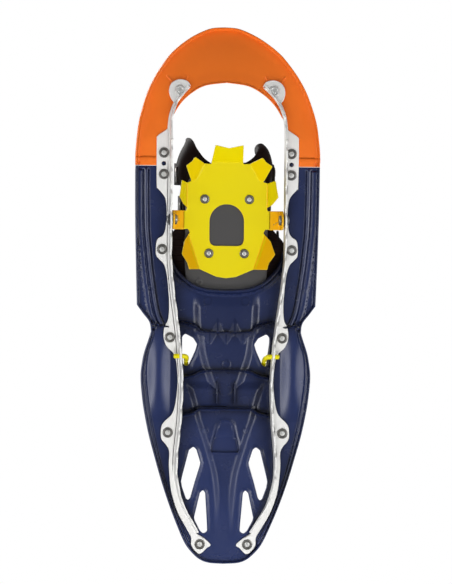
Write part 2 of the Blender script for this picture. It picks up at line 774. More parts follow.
def rail_metal(name):
    """Bright alloy with fine lengthwise streaks and dull blotches."""
    g = Surface(name)
    streak = g.noise(scale=160.0, detail=4.0, rough=0.6, stretch=(14.0, 0.5, 3.0))
    color = g.mix(g.ramp(streak), (0.80, 0.79, 0.765), (0.88, 0.875, 0.855))
    blotch = g.ramp(g.noise(scale=26.0, detail=5.0, rough=0.6), between=(0.55, 0.75))
    color = g.tint(color, blotch, amount=0.10, over=(0.62, 0.60, 0.56))
    color = g.tint(color, g.edge(), amount=0.1, over=(0.95, 0.95, 0.94))
    normal = g.bump(streak, distance=0.00003, strength=0.5)
    normal = g.bump(g.noise(scale=1400.0, detail=2.0), distance=0.00002, strength=0.5,
                    under=normal)
    return g.finish(color, g.ramp(streak, to=(0.36, 0.50)), normal, Metallic=0.06,
                    Specular_IOR_Level=0.35)


def powder(name, flat, tilted, rough=0.36):
    """Powder coat: orange-peel bump, worn edges, another colour where the sheet is tilted."""
    g = Surface(name)
    facing = g.node("ShaderNodeSeparateXYZ",
                    {0: g.node("ShaderNodeNewGeometry").outputs["Normal"]})
    side = g.math("ABSOLUTE", facing.outputs["X"])
    warm = g.math("MULTIPLY", g.ramp(side, between=(0.25, 0.50)),
                  g.ramp(side, between=(0.82, 0.90), to=(1.0, 0.0)))
    where = g.node("ShaderNodeSeparateXYZ", {0: g.node("ShaderNodeTexCoord").outputs["Object"]})
    warm = g.math("MULTIPLY", warm,
                  g.ramp(where.outputs["Y"], between=(0.118, 0.128), to=(1.0, 0.25)))
    color = g.mix(warm, flat, tilted)
    blotch = g.noise(scale=30.0, detail=4.0)
    color = g.tint(color, g.ramp(blotch, between=(0.35, 0.7)), amount=0.12,
                   over=scaled(flat, 0.86))
    edge = g.edge()
    color = g.tint(color, edge, amount=0.22, over=(0.95, 0.86, 0.25))
    chip = g.ramp(g.noise(scale=420.0), between=(0.66, 0.70))
    color = g.tint(color, g.math("MULTIPLY", edge, chip), amount=0.7, over=(0.45, 0.44, 0.42))
    peel = g.noise(scale=700.0, detail=2.0, rough=0.4)
    normal = g.bump(peel, distance=0.00004, strength=0.55)
    normal = g.bump(g.noise(scale=22.0, detail=2.0), distance=0.0005, strength=0.12,
                    under=normal)
    return g.finish(color, g.ramp(blotch, to=(rough - 0.04, rough + 0.06)), normal,
                    Specular_IOR_Level=0.22, Coat_Weight=0.04, Coat_Roughness=0.15)


def soft_rubber(name, rgb, rough):
    """Dusty dark rubber with paler edges."""
    shade = 0.25            # strength of the mottling
    g = Surface(name)
    mottle = g.noise(scale=18.0, detail=4.0)
    color = g.mix(g.ramp(mottle), scaled(rgb, 1 - shade), scaled(rgb, 1 + shade))
    dust = g.ramp(g.noise(scale=90.0, detail=5.0, rough=0.7), between=(0.58, 0.78))
    color = g.tint(color, dust, amount=0.10, over=scaled(rgb, 2.2, plus=0.02))
    color = g.tint(color, g.edge(), amount=0.3, over=scaled(rgb, 2.0, plus=0.015))
    normal = g.bump(g.noise(scale=1100.0, rough=0.7), distance=0.00006, strength=0.7)
    normal = g.bump(g.noise(scale=60.0), distance=0.0003, strength=0.2, under=normal)
    return g.finish(color, g.ramp(mottle, to=(rough - 0.05, rough + 0.08)), normal,
                    Specular_IOR_Level=0.05)


def webbing(name, rgb):
    """Woven strap: zigzag ribs crossed by rows.  UV X runs across the strap, Y along it."""
    pitch = 0.0016          # of the ribs; the rows are 1.1 times as far apart
    bend = 3.0              # depth of the zigzag, in radians
    bend_rate = 0.25        # zigzag frequency relative to the rows
    g = Surface(name)
    cloth = g.node("ShaderNodeSeparateXYZ", {0: g.node("ShaderNodeUVMap").outputs["UV"]})
    across = g.math("MULTIPLY", cloth.outputs["X"], 2 * math.pi / pitch)
    along = g.math("MULTIPLY", cloth.outputs["Y"], 2 * math.pi / (pitch * 1.1))
    wave = g.math("ABSOLUTE", g.math("SINE", g.math("MULTIPLY", along, bend_rate)))
    zigzag = g.math("SINE", g.math("ADD", across, g.math("MULTIPLY", wave, bend)))
    row = g.math("SINE", along)
    height = g.math("ADD", g.math("MULTIPLY", zigzag, 0.5), g.math("MULTIPLY", row, 0.5))
    color = g.mix(g.ramp(height, between=(-0.8, 0.9)), scaled(rgb, 0.5),
                  scaled(rgb, 1.6, plus=0.004))
    normal = g.bump(height, distance=0.00022, strength=0.9)
    normal = g.bump(g.noise(scale=2500.0, detail=2.0), distance=0.00005, strength=0.6,
                    under=normal)
    return g.finish(color, 0.78, normal, Specular_IOR_Level=0.3, Sheen_Weight=0.25,
                    Sheen_Roughness=0.4)


def steel(name, rgb, rough, wear=0.2, metallic=0.9):
    """Blotched metal with bright edges."""
    g = Surface(name)
    blotch = g.noise(scale=300.0, detail=4.0)
    color = g.mix(g.ramp(blotch, between=(0.35, 0.7)), scaled(rgb, 1 - wear), rgb)
    color = g.tint(color, g.edge(), amount=0.4, over=(0.8, 0.8, 0.78))
    normal = g.bump(g.noise(scale=900.0), distance=0.00003, strength=0.6)
    return g.finish(color, g.ramp(blotch, to=(rough - 0.05, rough + 0.1)), normal,
                    Metallic=metallic)


ORANGE = moulded("orange plastic", (0.95, 0.192, 0.016), rough=0.34, grain=0.000008,
                 grain_scale=2300.0, specular=0.28, shade=0.05, edge_light=0.0, scuff=0.04)
NAVY = moulded("navy plastic", (0.0180, 0.0300, 0.106), rough=0.24, grain=0.000008,
               grain_scale=2300.0, shade=0.10, edge_light=0.0, scuff=0.06, crevice=0.88)
RAIL = rail_metal("rail alloy")
YELLOW = powder("yellow coat", flat=(0.80, 0.665, 0.0), tilted=(0.88, 0.47, 0.0))
TAB = powder("yellow coat tabs", flat=(0.90, 0.46, 0.0), tilted=(0.90, 0.44, 0.0))
LIFTER = powder("lifter coat", flat=(0.82, 0.72, 0.0), tilted=(0.82, 0.70, 0.0), rough=0.3)
GREY = moulded("grey plastic", (0.052, 0.050, 0.051), rough=0.52, grain=0.00008, shade=0.10,
               edge_light=0.3, scuff=0.4)
RUBBER = soft_rubber("binding rubber", (0.0105, 0.0062, 0.0060), rough=0.55)
PAD = soft_rubber("pad rubber", (0.016, 0.016, 0.017), rough=0.55)
WEB = webbing("strap webbing", (0.014, 0.014, 0.015))
BUCKLE = moulded("buckle plastic", (0.020, 0.020, 0.022), rough=0.42, shade=0.15,
                 edge_light=0.5)
RED = moulded("red plastic", (0.52, 0.018, 0.014), rough=0.38, shade=0.08)
RING = steel("rivet ring", (0.115, 0.108, 0.092), rough=0.42, wear=0.35)
BRIGHT = steel("rivet centre", (0.74, 0.74, 0.72), rough=0.28, wear=0.15, metallic=0.35)
PINSTEEL = steel("pin steel", (0.30, 0.295, 0.28), rough=0.32, wear=0.25)
DARKLINE = steel("stamped line", (0.09, 0.06, 0.01), rough=0.5)

# ------------------------------------------------------------------ nose shell
outer_half = curve(NOSE_OUTER, 1.8)
nose_inner_half = curve(NOSE_INNER, 1.8)
RIVET_HOLES = paired_circles(RAIL_RIVETS, RIVET_HOLE_R)
NOSE_SEAM = SEAM_Y + SEAM_GAP
GROOVE_Y = 155.2            # groove across the top, in front of the seam


def nose_parts(points):
    """X, Y and the distances to the outer and inner edges."""
    folded = fold_x(points)
    return (folded[:, 0], folded[:, 1], folded, dist(folded, outer_half),
            dist(folded, nose_inner_half))


def nose_bottom(points, edge):
    x, y, folded, outer, inner = nose_parts(points)
    z = DECK_Z + lift(y)
    z = z + 1.3 * rise(np.minimum(outer, inner), 1.5, 16) * rise(y, 176, 215)
    # shallow dent beside the opening
    z = z + 1.6 * np.exp(-(((x - 88) / 6.5) ** 2) - ((y - 204 + (x - 88) * 0.6) / 21.0) ** 2)
    # depth is how far the relief hangs down: first the outer and inner lips
    depth = (LIP - 0.2) * upright(outer, 1.5, 0.8) + 1.1 * fall(outer, 2.8, 4.4)
    depth += 1.7 * upright(inner, 0.9, 0.6) * rise(y, 199, 206)
    for line in NOSE_STROKES:
        depth = np.maximum(depth, 1.4 * upright(dist(folded, line), 0.35, 0.6))
    # boss round the front rivet
    front_x, front_y = RAIL_RIVETS[0]
    depth += 0.63 * fall(np.hypot(x - front_x, y - front_y), 12.4, 14.4) * (inner > 1.4)
    # step of the overlap next to the seam, and a notch at its outer end
    beside = rise(x, 80.5, 82)
    depth += beside * 0.9 * fall(y, 154.6, 155.8)
    depth -= 1.1 * soft(np.abs(y - 156.2), 1.0) * beside
    depth -= 2.2 * fall(y, 150.5, 151.3) * rise(x, 100.6, 101.2)
    return z - depth + round_edge(edge, 0.7)


def nose_top(points, edge):
    x, y, _, outer, inner = nose_parts(points)
    z = DECK_Z + NOSE_T + lift(y)
    z = z + 1.2 * rise(np.minimum(outer, inner), 2, 16) * rise(y, 176, 215)
    z = z + 0.9 * bead(outer - 2.4, 2.2) + 0.8 * bead(inner - 2.2, 2.0)
    # shallow grooves that fan out over the nose
    heading = np.arctan2(x, y - NOSE_START)
    for angle in (0.12, 0.36, 0.60):
        gap = np.abs(heading - angle) * np.hypot(x, y - NOSE_START)
        z = z - 0.8 * soft(gap, 1.6) * rise(inner, 9, 14) * rise(outer, 9, 16)
    z = z - 0.5 * upright(np.abs(y - GROOVE_Y), 0.4, 0.4) * rise(x, 67, 70)
    return z - round_edge(edge, 1.1)


nose_lines = [(outer_half, (-3.1, -4.4)), (flip_x(outer_half)[::-1], (-3.1, -4.4)),
              (nose_inner_half, (3.2,)), (flip_x(nose_inner_half), (-3.2,))]
for stroke in NOSE_STROKES:
    for s in (1, -1):
        nose_lines.append((resample([(s * x, y) for x, y in stroke], 0.8),
                           (-1.0, -0.4, 0, 0.4, 1.0)))
for s in (1, -1):
    nose_lines.append((resample([(s * 81, GROOVE_Y), (s * 104, GROOVE_Y)], 1.6), (-0.5, 0.5)))
nose_loop = sym(np.vstack([clip_y(outer_half, low=NOSE_SEAM),
                           straight([(105, NOSE_SEAM), (65.4, NOSE_SEAM)], 2.0)[1:-1],
                           clip_y(nose_inner_half, low=NOSE_SEAM)]))
nose_shape = sheet(nose_loop, [hole for hole in RIVET_HOLES if hole[0, 1] > SEAM_Y], nose_top,
                   nose_bottom, step=1.9, rings=(0.35, 0.8, 1.5, 2.3), lines=nose_lines)
place(make("nose_shell_visual", nose_shape, ORANGE, 38), "frame", "nose_shell")

# ------------------------------------------------------------------ deck shell
deck_side_half = np.vstack([curve(DECK_SIDE[:5], 2.0)[:-1], curve(DECK_SIDE[4:8], 1.5)[:-1],
                            curve(DECK_SIDE[7:], 2.0)])
deck_inner_half = curve(DECK_INNER, 1.8)
wall_half = np.vstack([curve(RAIL_WALL[:5], 1.0)[:-1], straight(RAIL_WALL[4:6], 1.0)[:-1],
                       curve(RAIL_WALL[5:], 1.0)])
tail_half = curve(TAIL_BORDER, 2.0)
rib_halves = [curve(rib, 1.0) for rib in CROSS_RIBS]
heel_u_half = curve(HEEL_U, 1.0)
spine_half = curve(SPINE, 1.5)
ridge_half = curve(WING_RIDGE, 1.6)
bail_half, middle_half, rear_half = (rounded(slot, 3.2, 1.1)
                                     for slot in (BAIL_SLOT, MIDDLE_SLOT, REAR_SLOT))
POCKET = sym(POCKET_HALF)
DECK_SEAM = SEAM_Y - SEAM_GAP


def dome(x, y):
    """Height of the domed sides of the tail."""
    across, along = (x - 76) / 13.5, (y + 92) / 52
    return 3.4 * np.clip(1 - across * across, 0, 1) ** 1.3 * np.clip(1 - along * along, 0, 1)


def slot_distance(folded):
    return np.minimum(dist(folded, middle_half, True), dist(folded, rear_half, True))


def side_relief(x, y, folded, outer):
    """Outer lip, raised tail rim, and the long ridges of the sides."""
    tail = fall(y, -44, -34)
    depth = (LIP - 0.2) * upright(outer, 1.4, 0.8)
    beyond = x - x_at(tail_half, y)
    band = tail * rise(beyond, -0.6, 0.9) * rise(y, -289, -283)
    depth += (1.9 * band * (outer > 1.8)
              + 0.9 * tail * bead(np.abs(beyond - 0.4), 1.3) * rise(y, -286, -278))
    # rounded ridge with a trough inside it and a lower ridge outside it
    wing = rise(y, -38, -30)
    beyond = x - x_at(ridge_half, y)
    depth += 3.0 * bead(dist(folded, ridge_half), 3.0)
    depth -= 1.2 * wing * rise(-beyond, 2.0, 5.0) * rise(x, 81.8, 83.0) * fall(y, 136, 142)
    depth += 0.9 * wing * bead(beyond - 7.5, 3.2) * (y < 141)
    # rib and hollow knob at the waist of the outline
    depth = np.maximum(depth, 4.2 * upright(dist(folded, WAIST_RIB), 0.6, 0.6))
    knob = np.hypot(x - WAIST_KNOB[0], y - WAIST_KNOB[1])
    return np.maximum(depth, 4.6 * fall(knob, 2.3, 3.0)) - 2.4 * fall(knob, 0.8, 1.4)


def heel_floor(x, y, folded):
    """Raised floor with sloping sides, within the heel U and in front of it."""
    from_u = dist(folded, heel_u_half)
    within = (x < x_at(heel_u_half, y)) & (y > -118)
    from_u = np.where(within, from_u, -from_u)
    front = rise(y, -46, -38)
    floor = 3.6 * rise(from_u, -5.0, 5.0) * (1 - front) * rise(-y, -20, -10)
    beyond = x - np.interp(y, [-50, -4, 20], [31.5, 33.5, 36.0])
    return floor + 4.2 * fall(beyond, -4.5, 5.5) * front * fall(y, -14, 4)


def deck_bottom(points, edge):
    folded = fold_x(points)
    x, y = folded[:, 0], folded[:, 1]
    outer, inner = dist(folded, deck_side_half), dist(folded, deck_inner_half)
    between = fall(x - x_at(wall_half, y), -2.2, -1.0)      # 1 between the rails
    depth = side_relief(x, y, folded, outer)
    # rolled lip of the binding opening
    depth += fall(y, 46, 60) * between * (
        3.0 * bead(inner - 2.4, 2.4) + 1.7 * fall(inner, 8.0, 9.2) * rise(inner, 0.4, 1.6))
    # cross ribs, the last one with a low rib beside it
    for rib in rib_halves:
        gap = dist(folded, rib)
        depth = np.maximum(depth, 8.0 * upright(gap, 0.75, 0.45) * between)
        depth = np.maximum(depth, 1.6 * soft(gap, 3.2) * between)
    gap = dist(folded, offset(rib_halves[2], -3.4))
    depth = np.maximum(depth, 3.2 * upright(gap, 0.5, 0.5) * between * (x < 39))
    depth = np.maximum(depth, heel_floor(x, y, folded))
    for high, low in GUSSETS:
        share = (y - high[1]) / (low[1] - high[1])
        roof = 3.9 + 4.2 * (1 - share) - 0.55 * np.abs(x - high[0])
        depth = np.where((share > -0.08) & (share < 1),
                         np.maximum(depth, np.minimum(roof, 7.9)), depth)
    # long soft ridge along the middle of the tail
    depth = np.maximum(depth, 2.9 * fall(x - x_at(spine_half, y), -4.2, 4.2)
                       * rise(y, -292, -215) * between * rise(-y, 97, 108))
    # sunken pocket on the centre line
    gap = dist(folded, POCKET, True)
    depth = depth + np.where(inside(POCKET, folded),
                             -(1.6 + 3.4 * rise(-y, 150, 176)) * rise(gap, 0.0, 1.6),
                             0.5 * fall(gap, 0.2, 3.0))
    # raised borders of the slots
    depth = np.maximum(depth, 0.8 * fall(dist(folded, bail_half, True), 1.2, 5.2)
                       * rise(y, -200, -190) * between)
    depth += 0.5 * fall(slot_distance(folded), 1.0, 3.0) * between
    for ring_x, ring_y, radius in FAINT_RINGS:
        gap = np.abs(np.hypot(x - ring_x, y - ring_y) - radius)
        depth = depth + 0.45 * soft(gap, 0.8)
    return DECK_Z + lift(y) + dome(x, y) - depth + round_edge(edge, 0.6)


def deck_top(points, edge):
    folded = fold_x(points)
    x, y = folded[:, 0], folded[:, 1]
    outer, inner = dist(folded, deck_side_half), dist(folded, deck_inner_half)
    z = DECK_Z + DECK_T + lift(y) + dome(x, y)
    z = z + 1.0 * bead(outer - 2.6, 2.4) * rise(edge, 0.4, 1.2)
    z = z + 0.8 * bead(inner - 2.4, 2.0) * fall(y, 46, 60)
    z = z - 1.0 * soft(np.abs(outer - 8.0), 1.8) * rise(outer, 4, 6)
    # bars along the tail
    width = np.interp(y, [-270, -230, -185, -150], [10, 8, 13, 22])
    tail = fall(y, -150, -144) * rise(y, -272, -262)
    z = z + 1.1 * bars(y + 300, 11.0, 2.8) * tail * fall(x, width - 1.5, width)
    # slanting bars on the sides
    wing = rise(y, -4, 2) * fall(y, 128, 134) * rise(x, 82.5, 84) * fall(x, 93.5, 95)
    z = z + 0.9 * bars(y + x * 0.5 + 300, 12.0, 2.8) * wing
    z = z + np.where(inside(POCKET, folded), 2.0 * rise(dist(folded, POCKET, True), 0.0, 2.0),
                     0.0)
    # bars in front of the pocket
    pan = rise(y, -148, -140) * fall(y, -132, -122) * fall(x, 30, 34)
    z = z + 1.1 * bars(y + 300, 10.0, 2.8) * pan
    z = z + 0.9 * bead(slot_distance(folded) - 2.4, 1.8)
    return z - round_edge(edge, 1.0)


# (half line, offsets of its mesh points)
DECK_FEATURES = [
    (deck_side_half, (-3.2,)),
    (tail_half, (-1.2, -0.4, 0.5, 1.4)),
    (deck_inner_half, (3.4, 4.8, 8.0, 9.2, -3.4, -4.8, -8.0, -9.2)),
    (ridge_half, (-5.0, -3.0, -2.2, -1.1, 0, 1.1, 2.2, 3.0, 4.3)),
    (rib_halves[0], (-1.2, -0.7, 0.7, 1.2)),
    (rib_halves[1], (-1.2, -0.7, 0.7, 1.2)),
    (rib_halves[2], (-1.2, -0.7, 0.7, 1.2, -2.9, -3.9)),
    (heel_u_half, (-5.0, -3.4, -1.8, -1.0, -0.5, 0.0, 0.5, 1.0, 1.8, 3.4, 5.0)),
    (spine_half, (-3.6, -1.8, 0, 1.8, 3.6)),
    (np.array(WAIST_RIB, float), (-1.2, -0.6, 0.6, 1.2)),
    (curve(ARCH, 1.2), (-1.6, -0.7, 0.7, 1.6))]
deck_lines = [(line, offsets) for half, offsets in DECK_FEATURES for line in (half, flip_x(half))]
for high, low in GUSSETS:
    for s in ((1, -1) if high[0] else (1,)):
        for shift in (0.0, -7.6, 7.6):
            line = [(s * high[0] + shift, high[1]), (s * low[0], low[1])]
            deck_lines.append((resample(line, 0.9), (0.0,)))
deck_extra = [circle(s * x, y, ring, 22) for x, y, radius in FAINT_RINGS for s in (1, -1)
              for ring in (radius - 0.8, radius, radius + 0.8)]
deck_extra += [resample(offset(np.vstack([POCKET, POCKET[:1]]), distance), 1.0)
               for distance in (-1.4, -0.3, 0.3, 1.4)]
deck_holes = [hole for hole in RIVET_HOLES if hole[0, 1] < SEAM_Y]
for slot_loop in (bail_half, middle_half, rear_half):
    deck_holes += [slot_loop, flip_x(slot_loop)[::-1]]
deck_loop = sym(np.vstack([clip_y(deck_inner_half[::-1], high=DECK_SEAM),
                           straight([(66.4, DECK_SEAM), (105, DECK_SEAM)], 2.0)[1:-1],
                           clip_y(deck_side_half, high=DECK_SEAM)]))
deck_shape = sheet(deck_loop, deck_holes, deck_top, deck_bottom, step=1.7,
                   rings=(0.35, 0.8, 1.4, 2.2), lines=deck_lines, extra=deck_extra)
place(make("deck_shell_visual", deck_shape, NAVY, 38), "frame", "deck_shell")

# Upright ribs that tie the end of the heel U to the last cross rib.
END_RIB_X, END_RIB_FRONT, END_RIB_REAR = 10.2, -99, -123.0
for side, sx in SIDES:
    end_rib = make("deck_end_rib_" + side, box(
        (sx * END_RIB_X - 0.8, END_RIB_REAR, DECK_Z - 7.9),
        (sx * END_RIB_X + 0.8, END_RIB_FRONT, DECK_Z + 0.6)), NAVY, 30)
    place(bevel(end_rib, width=0.45, segments=2, angle=35), "frame")

# ------------------------------------------------------------------ traction rails
wall_run = run_length(wall_half)
# The teeth start at the point of the wall nearest to (55, 220).
teeth_start = wall_run[np.argmin(np.abs(wall_half[:, 1] - 220) + np.abs(wall_half[:, 0] - 55))]
teeth_run = wall_run[-1] - teeth_start
tooth_pitch = teeth_run / int(teeth_run / 24.0)     # a whole number of teeth, about 24 mm each
FRONT_TEETH_Y, REAR_TEETH_Y = 176, -225             # beyond these the wall follows the lift


def tooth_edge(run, y):
    """Height of the lower edge of the rail wall, with its broad teeth."""
    phase = ((run - teeth_start) / tooth_pitch) % 1.0
    notch = rise(np.interp(phase, [0.0, 0.12, 0.36, 0.76, 1.0], [1, 1, 0, 0, 1]), 0, 1)
    top = RAIL_TOP + lift(y)
    front_share = np.clip((y - FRONT_TEETH_Y) / 40, 0, 1)
    rear_share = np.clip((REAR_TEETH_Y - y) / 50, 0, 1)
    z = np.where(y > FRONT_TEETH_Y, top - (23 - 14 * front_share) + 4.0 * notch, 6.0 * notch)
    z = np.where(y < REAR_TEETH_Y, top - 21 + 6 * rear_share + 4 * notch, z)
    before = np.clip(teeth_start - run, 0, 20)
    return np.where(run < teeth_start, np.maximum(z, top - 9 + before * 0.45), z)


def rail_wall(side):
    """Standing toothed wall with the bend and a strip of the flange."""
    top = RAIL_TOP + lift(wall_half[:, 1])
    low = tooth_edge(wall_run, wall_half[:, 1])
    low[:3] = top[:3] - 3.0
    bend = 2.4
    # section: (offset from the inner face, height)
    section = [(0.25, low), (0.0, low + 0.3), (0.0, np.maximum(top - bend, low + 0.8))]
    for angle in (math.radians(30), math.radians(60)):
        section.append((bend * (1 - math.cos(angle)), top - bend * (1 - math.sin(angle))))
    section += [(bend, top), (4.2, top), (4.2, top - GAUGE), (3.2, top - GAUGE),
                (2.3, top - GAUGE - 0.35), (GAUGE, np.maximum(top - GAUGE - 1.3, low + 0.5)),
                (GAUGE, low + 0.3), (GAUGE - 0.25, low)]
    verts = []
    for distance, height in section:
        plan = offset(wall_half, distance)
        verts.append(np.column_stack([side * plan[:, 0], plan[:, 1], height]))
    rows, cols = len(section), len(wall_half)
    faces = quads(rows, cols, wrap_rows=True, wrap_cols=False)
    faces.append([row * cols for row in range(rows)])
    faces.append([row * cols + cols - 1 for row in reversed(range(rows))])
    return np.vstack(verts), faces


def rail_flange(side):
    loop = np.vstack([resample(offset(wall_half, 2.6), 1.4), curve(RAIL_FLANGE, 1.4)[::-1]])
    loop = loop * np.array([side, 1])
    holes = [circle(side * x, y, RIVET_HOLE_R) for x, y in RAIL_RIVETS]
    holes.append(circle(side * PEG_X, PEG_Y, 2.6))
    return sheet(loop if side > 0 else loop[::-1], holes,
                 lambda p, edge: RAIL_TOP + lift(p[:, 1]) - round_edge(edge, 0.35),
                 lambda p, edge: RAIL_TOP - GAUGE + lift(p[:, 1]) + round_edge(edge, 0.6),
                 step=2.6, rings=(0.3, 0.7))


for side, sx in SIDES:
    wall_obj = make(side + "_rail_wall", rail_wall(sx), RAIL, 32)
    flange_obj = make(side + "_rail_flange", rail_flange(sx), RAIL, 30)
    place(wall_obj, "frame", side + "_rail")
    place(flange_obj, "frame")

for side, sx in SIDES:
    verts, faces = turned([(0.3, 22.5), (1.7, 22.55), (2.3, 22.9), (2.45, 23.4), (2.45, 24.2),
                           (2.2, 24.25), (0.3, 24.25)], 32)
    place(make(side + "_locating_peg", (verts + np.array([sx * PEG_X, PEG_Y, 0]), faces), NAVY),
          "frame")

# ------------------------------------------------------------------ tubular rivets
RIVET_R = 5.9
# (radius, height) at full size, the height from the lower face of the riveted stack
RIVET_RING = [(3.05, -0.25), (3.25, -1.25), (3.9, -1.85), (4.7, -1.9), (5.5, -1.5),
              (5.9, -0.7), (5.9, -0.05), (3.05, -0.05)]
RIVET_CENTRE = [(0.55, -1.15), (0.75, -1.5), (1.9, -1.55), (2.7, -1.25), (3.15, -0.7),
                (3.15, -0.1), (2.6, 0.0)]
# the same for the upper head, the height from the top of the stack
RIVET_HEAD = [(2.6, 0.2), (6.2, 0.25), (6.25, 0.8), (5.2, 1.35), (3.0, 1.6), (0.9, 1.7)]


def rivet(replaced, at, tilt, grip, body, radius=RIVET_R, turn=0.0, ring_material=RING):
    """Dark ring round a bright recessed centre with a cross mark.

    tilt is the slope of the rivet's seat along Y and grip the thickness of the stack.
    """
    size = radius / RIVET_R
    core = [(0.0001, -1.15)] + [(r * size, h) for r, h in RIVET_CENTRE]
    core += [(r * size, grip + h) for r, h in RIVET_HEAD]
    parts = [turned(core)]
    for angle in (turn, math.pi / 2 + turn):
        bar, faces = box((-1.5 * size, -0.22 * size, -1.78), (1.5 * size, 0.22 * size, -1.35))
        cosine, sine = math.cos(angle), math.sin(angle)
        bar = bar @ np.array([[cosine, -sine, 0], [sine, cosine, 0], [0, 0, 1]]).T
        bar[:, 0] += 0.15
        parts.append((bar, faces))
    x, y, z = at
    ring = turned([(r * size, h) for r, h in RIVET_RING], ring=True)
    for tag, (points, faces), material in (("", ring, ring_material), ("_core", merge(parts), BRIGHT)):
        verts = points.copy()
        verts[:, 2] += z + tilt * points[:, 1]
        verts[:, 0] += x
        verts[:, 1] += y
        place(make(replaced + "_visual" + tag, (verts, faces), material, 40), body,
              None if tag else replaced)


for side, sx in SIDES:
    for k, (x, y) in enumerate(RAIL_RIVETS, 1):
        z = RAIL_TOP - GAUGE + float(lift(y))
        shell_top = nose_top if y > SEAM_Y else deck_top
        stack_top = float(shell_top(np.array([[x, y]], float), np.array([9.0]))[0])
        rivet("%s_rail_rivet_%d" % (side, k), (sx * x, y, z - 0.02),
              tilt=float(lift(y + 0.5) - lift(y - 0.5)), grip=stack_top - z, body="frame",
              turn=0.7 * k + (0.4 if sx > 0 else 0.0), ring_material=BRIGHT if k == 1 else RING)
for k, (x, y) in enumerate(CRAMPON_RIVETS):
    for side, sx in SIDES:
        rivet("crampon_rivet_%s_%s" % (("front", "rear")[k], side), (sx * x, y, CRAMPON_LOW),
              tilt=0.0, grip=BASE_TOP - CRAMPON_LOW, body="binding", radius=5.3, turn=1.1 + k)

# ------------------------------------------------------------------ toe crampon
# Bent-down teeth: (point on the bend, direction out over it, slope, region of the tooth)
TEETH = [
    ((0, 151), (0, 1), 1.28, lambda x, y: (x < 19) & (y > 148)),
    ((26.9, 148), (0.87, 0.49), 1.3,
     lambda x, y: (x > 20) & ((y > 131) | ((y > 129.5) & (x < 44)))),
    ((46, 110), (1, 0), 2.2, lambda x, y: (x > 43) & (y > 97) & (y < 131)),
    ((42.8, 65.8), (0.95, -0.31), 1.5, lambda x, y: (x > 27) & (y < 70))]
# Bend lines that get their own mesh points.
MIDDLE_BEND = [(-18.3, 151), (18.3, 151)]
SIDE_BENDS = [[(26, 149.2), (41, 128.6)], [(46, 99), (46, 127)], [(43.2, 67), (31, 29.4)]]
BEND_R = 1.3


def tooth_drop(points):
    """How far the teeth hang down, and the vertical stretch of the sheet where it slopes."""
    x, y = np.abs(points[:, 0]), points[:, 1]
    drop, stretch = np.zeros(len(points)), np.ones(len(points))
    for start, out, slope, region in TEETH:
        within = region(x, y)
        past = (x - start[0]) * out[0] + (y - start[1]) * out[1]
        eased = np.where(past > BEND_R, past,
                         np.where(past < -BEND_R, 0.0, (past + BEND_R) ** 2 / (4 * BEND_R)))
        drop = np.where(within, np.maximum(drop, slope * eased), drop)
        stretch = np.where(within & (past > 0),
                           np.sqrt(1 + (slope * np.clip(past / BEND_R, 0, 1)) ** 2), stretch)
    return drop, stretch


def crampon_top(points, edge):
    return CRAMPON_TOP - tooth_drop(points)[0] - round_edge(edge, 0.3)


def crampon_bottom(points, edge):
    drop, stretch = tooth_drop(points)
    return CRAMPON_TOP - drop - CRAMPON_T * stretch + round_edge(edge, 0.45)


# Window of the plate: a half circle in front of a rounded rectangle.
WINDOW_R, WINDOW_Y = 19.6, 83.3
window = [(WINDOW_R * math.cos(a), WINDOW_Y + WINDOW_R * math.sin(a))
          for a in np.linspace(0, math.pi, 40)]
window += [(-19.6, 62), (-18.2, 58.2), (-15.5, 56.2), (-13, 55.7), (13, 55.7), (15.5, 56.2),
           (18.2, 58.2), (19.6, 62)]
bends = [MIDDLE_BEND] + SIDE_BENDS + [[(-x, y) for x, y in bend] for bend in SIDE_BENDS]
crampon_shape = sheet(
    rounded(sym(CRAMPON), 0.9, 1.2),
    [resample(window, 1.2, True)] + paired_circles(CRAMPON_RIVETS, 2.9),
    crampon_top, crampon_bottom, step=2.0, rings=(0.35, 0.8),
    lines=[(resample(bend, 1.2), (-1.3, -0.65, 0.0, 0.65, 1.3, 2.6)) for bend in bends])
place(make("toe_crampon_plate", crampon_shape, YELLOW, 34), "binding",
      "toe_crampon")


def crampon_ear(side):
    """Ear bent down from the crampon plate, with a rounded lower end."""
    half_width, end_r, bend, x_out, low_z = 10.3, 8.6, 3.2, 61.8, 4.6
    top = CRAMPON_TOP - CRAMPON_T / 2
    path = [(48.5, top), (52.5, top)]       # (|x|, z)
    for angle in np.linspace(0, math.pi / 2, 7):
        path.append((x_out - bend + bend * math.sin(angle),
                     top - bend + bend * math.cos(angle)))
    path += [(x_out, z) for z in np.arange(top - bend - 1.2, low_z, -1.2)] + [(x_out, low_z)]
    rows = []
    for x, z in resample(path, 0.8):
        width = half_width
        low = PIVOT_Z - z
        if low > 0:
            width = (math.sqrt(max(end_r ** 2 - low ** 2, 0.6))
                     + (half_width - end_r) * max(0, 1 - low / end_r))
        rows.append([(side * x, PIVOT_Y - 0.2 + width * t, z) for t in np.linspace(-1, 1, 19)])
    grid = np.array(rows)
    return thick_grid(grid[:, ::-1] if side > 0 else grid, CRAMPON_T, 0.5)


for side, sx in SIDES:
    place(make(side + "_crampon_ear", crampon_ear(sx), TAB, 40), "binding")

# ------------------------------------------------------------------ binding base
BASE_PAD = sym([(0, 140), (21, 139), (29, 131), (29, 117), (18.5, 114.2), (18.5, 102.8),
                (29, 100), (29, 62), (20, 56), (0, 56)])
BASE_RING = (31.0, 15.0, 2.8)       # faint ring of the underside: x, y, radius


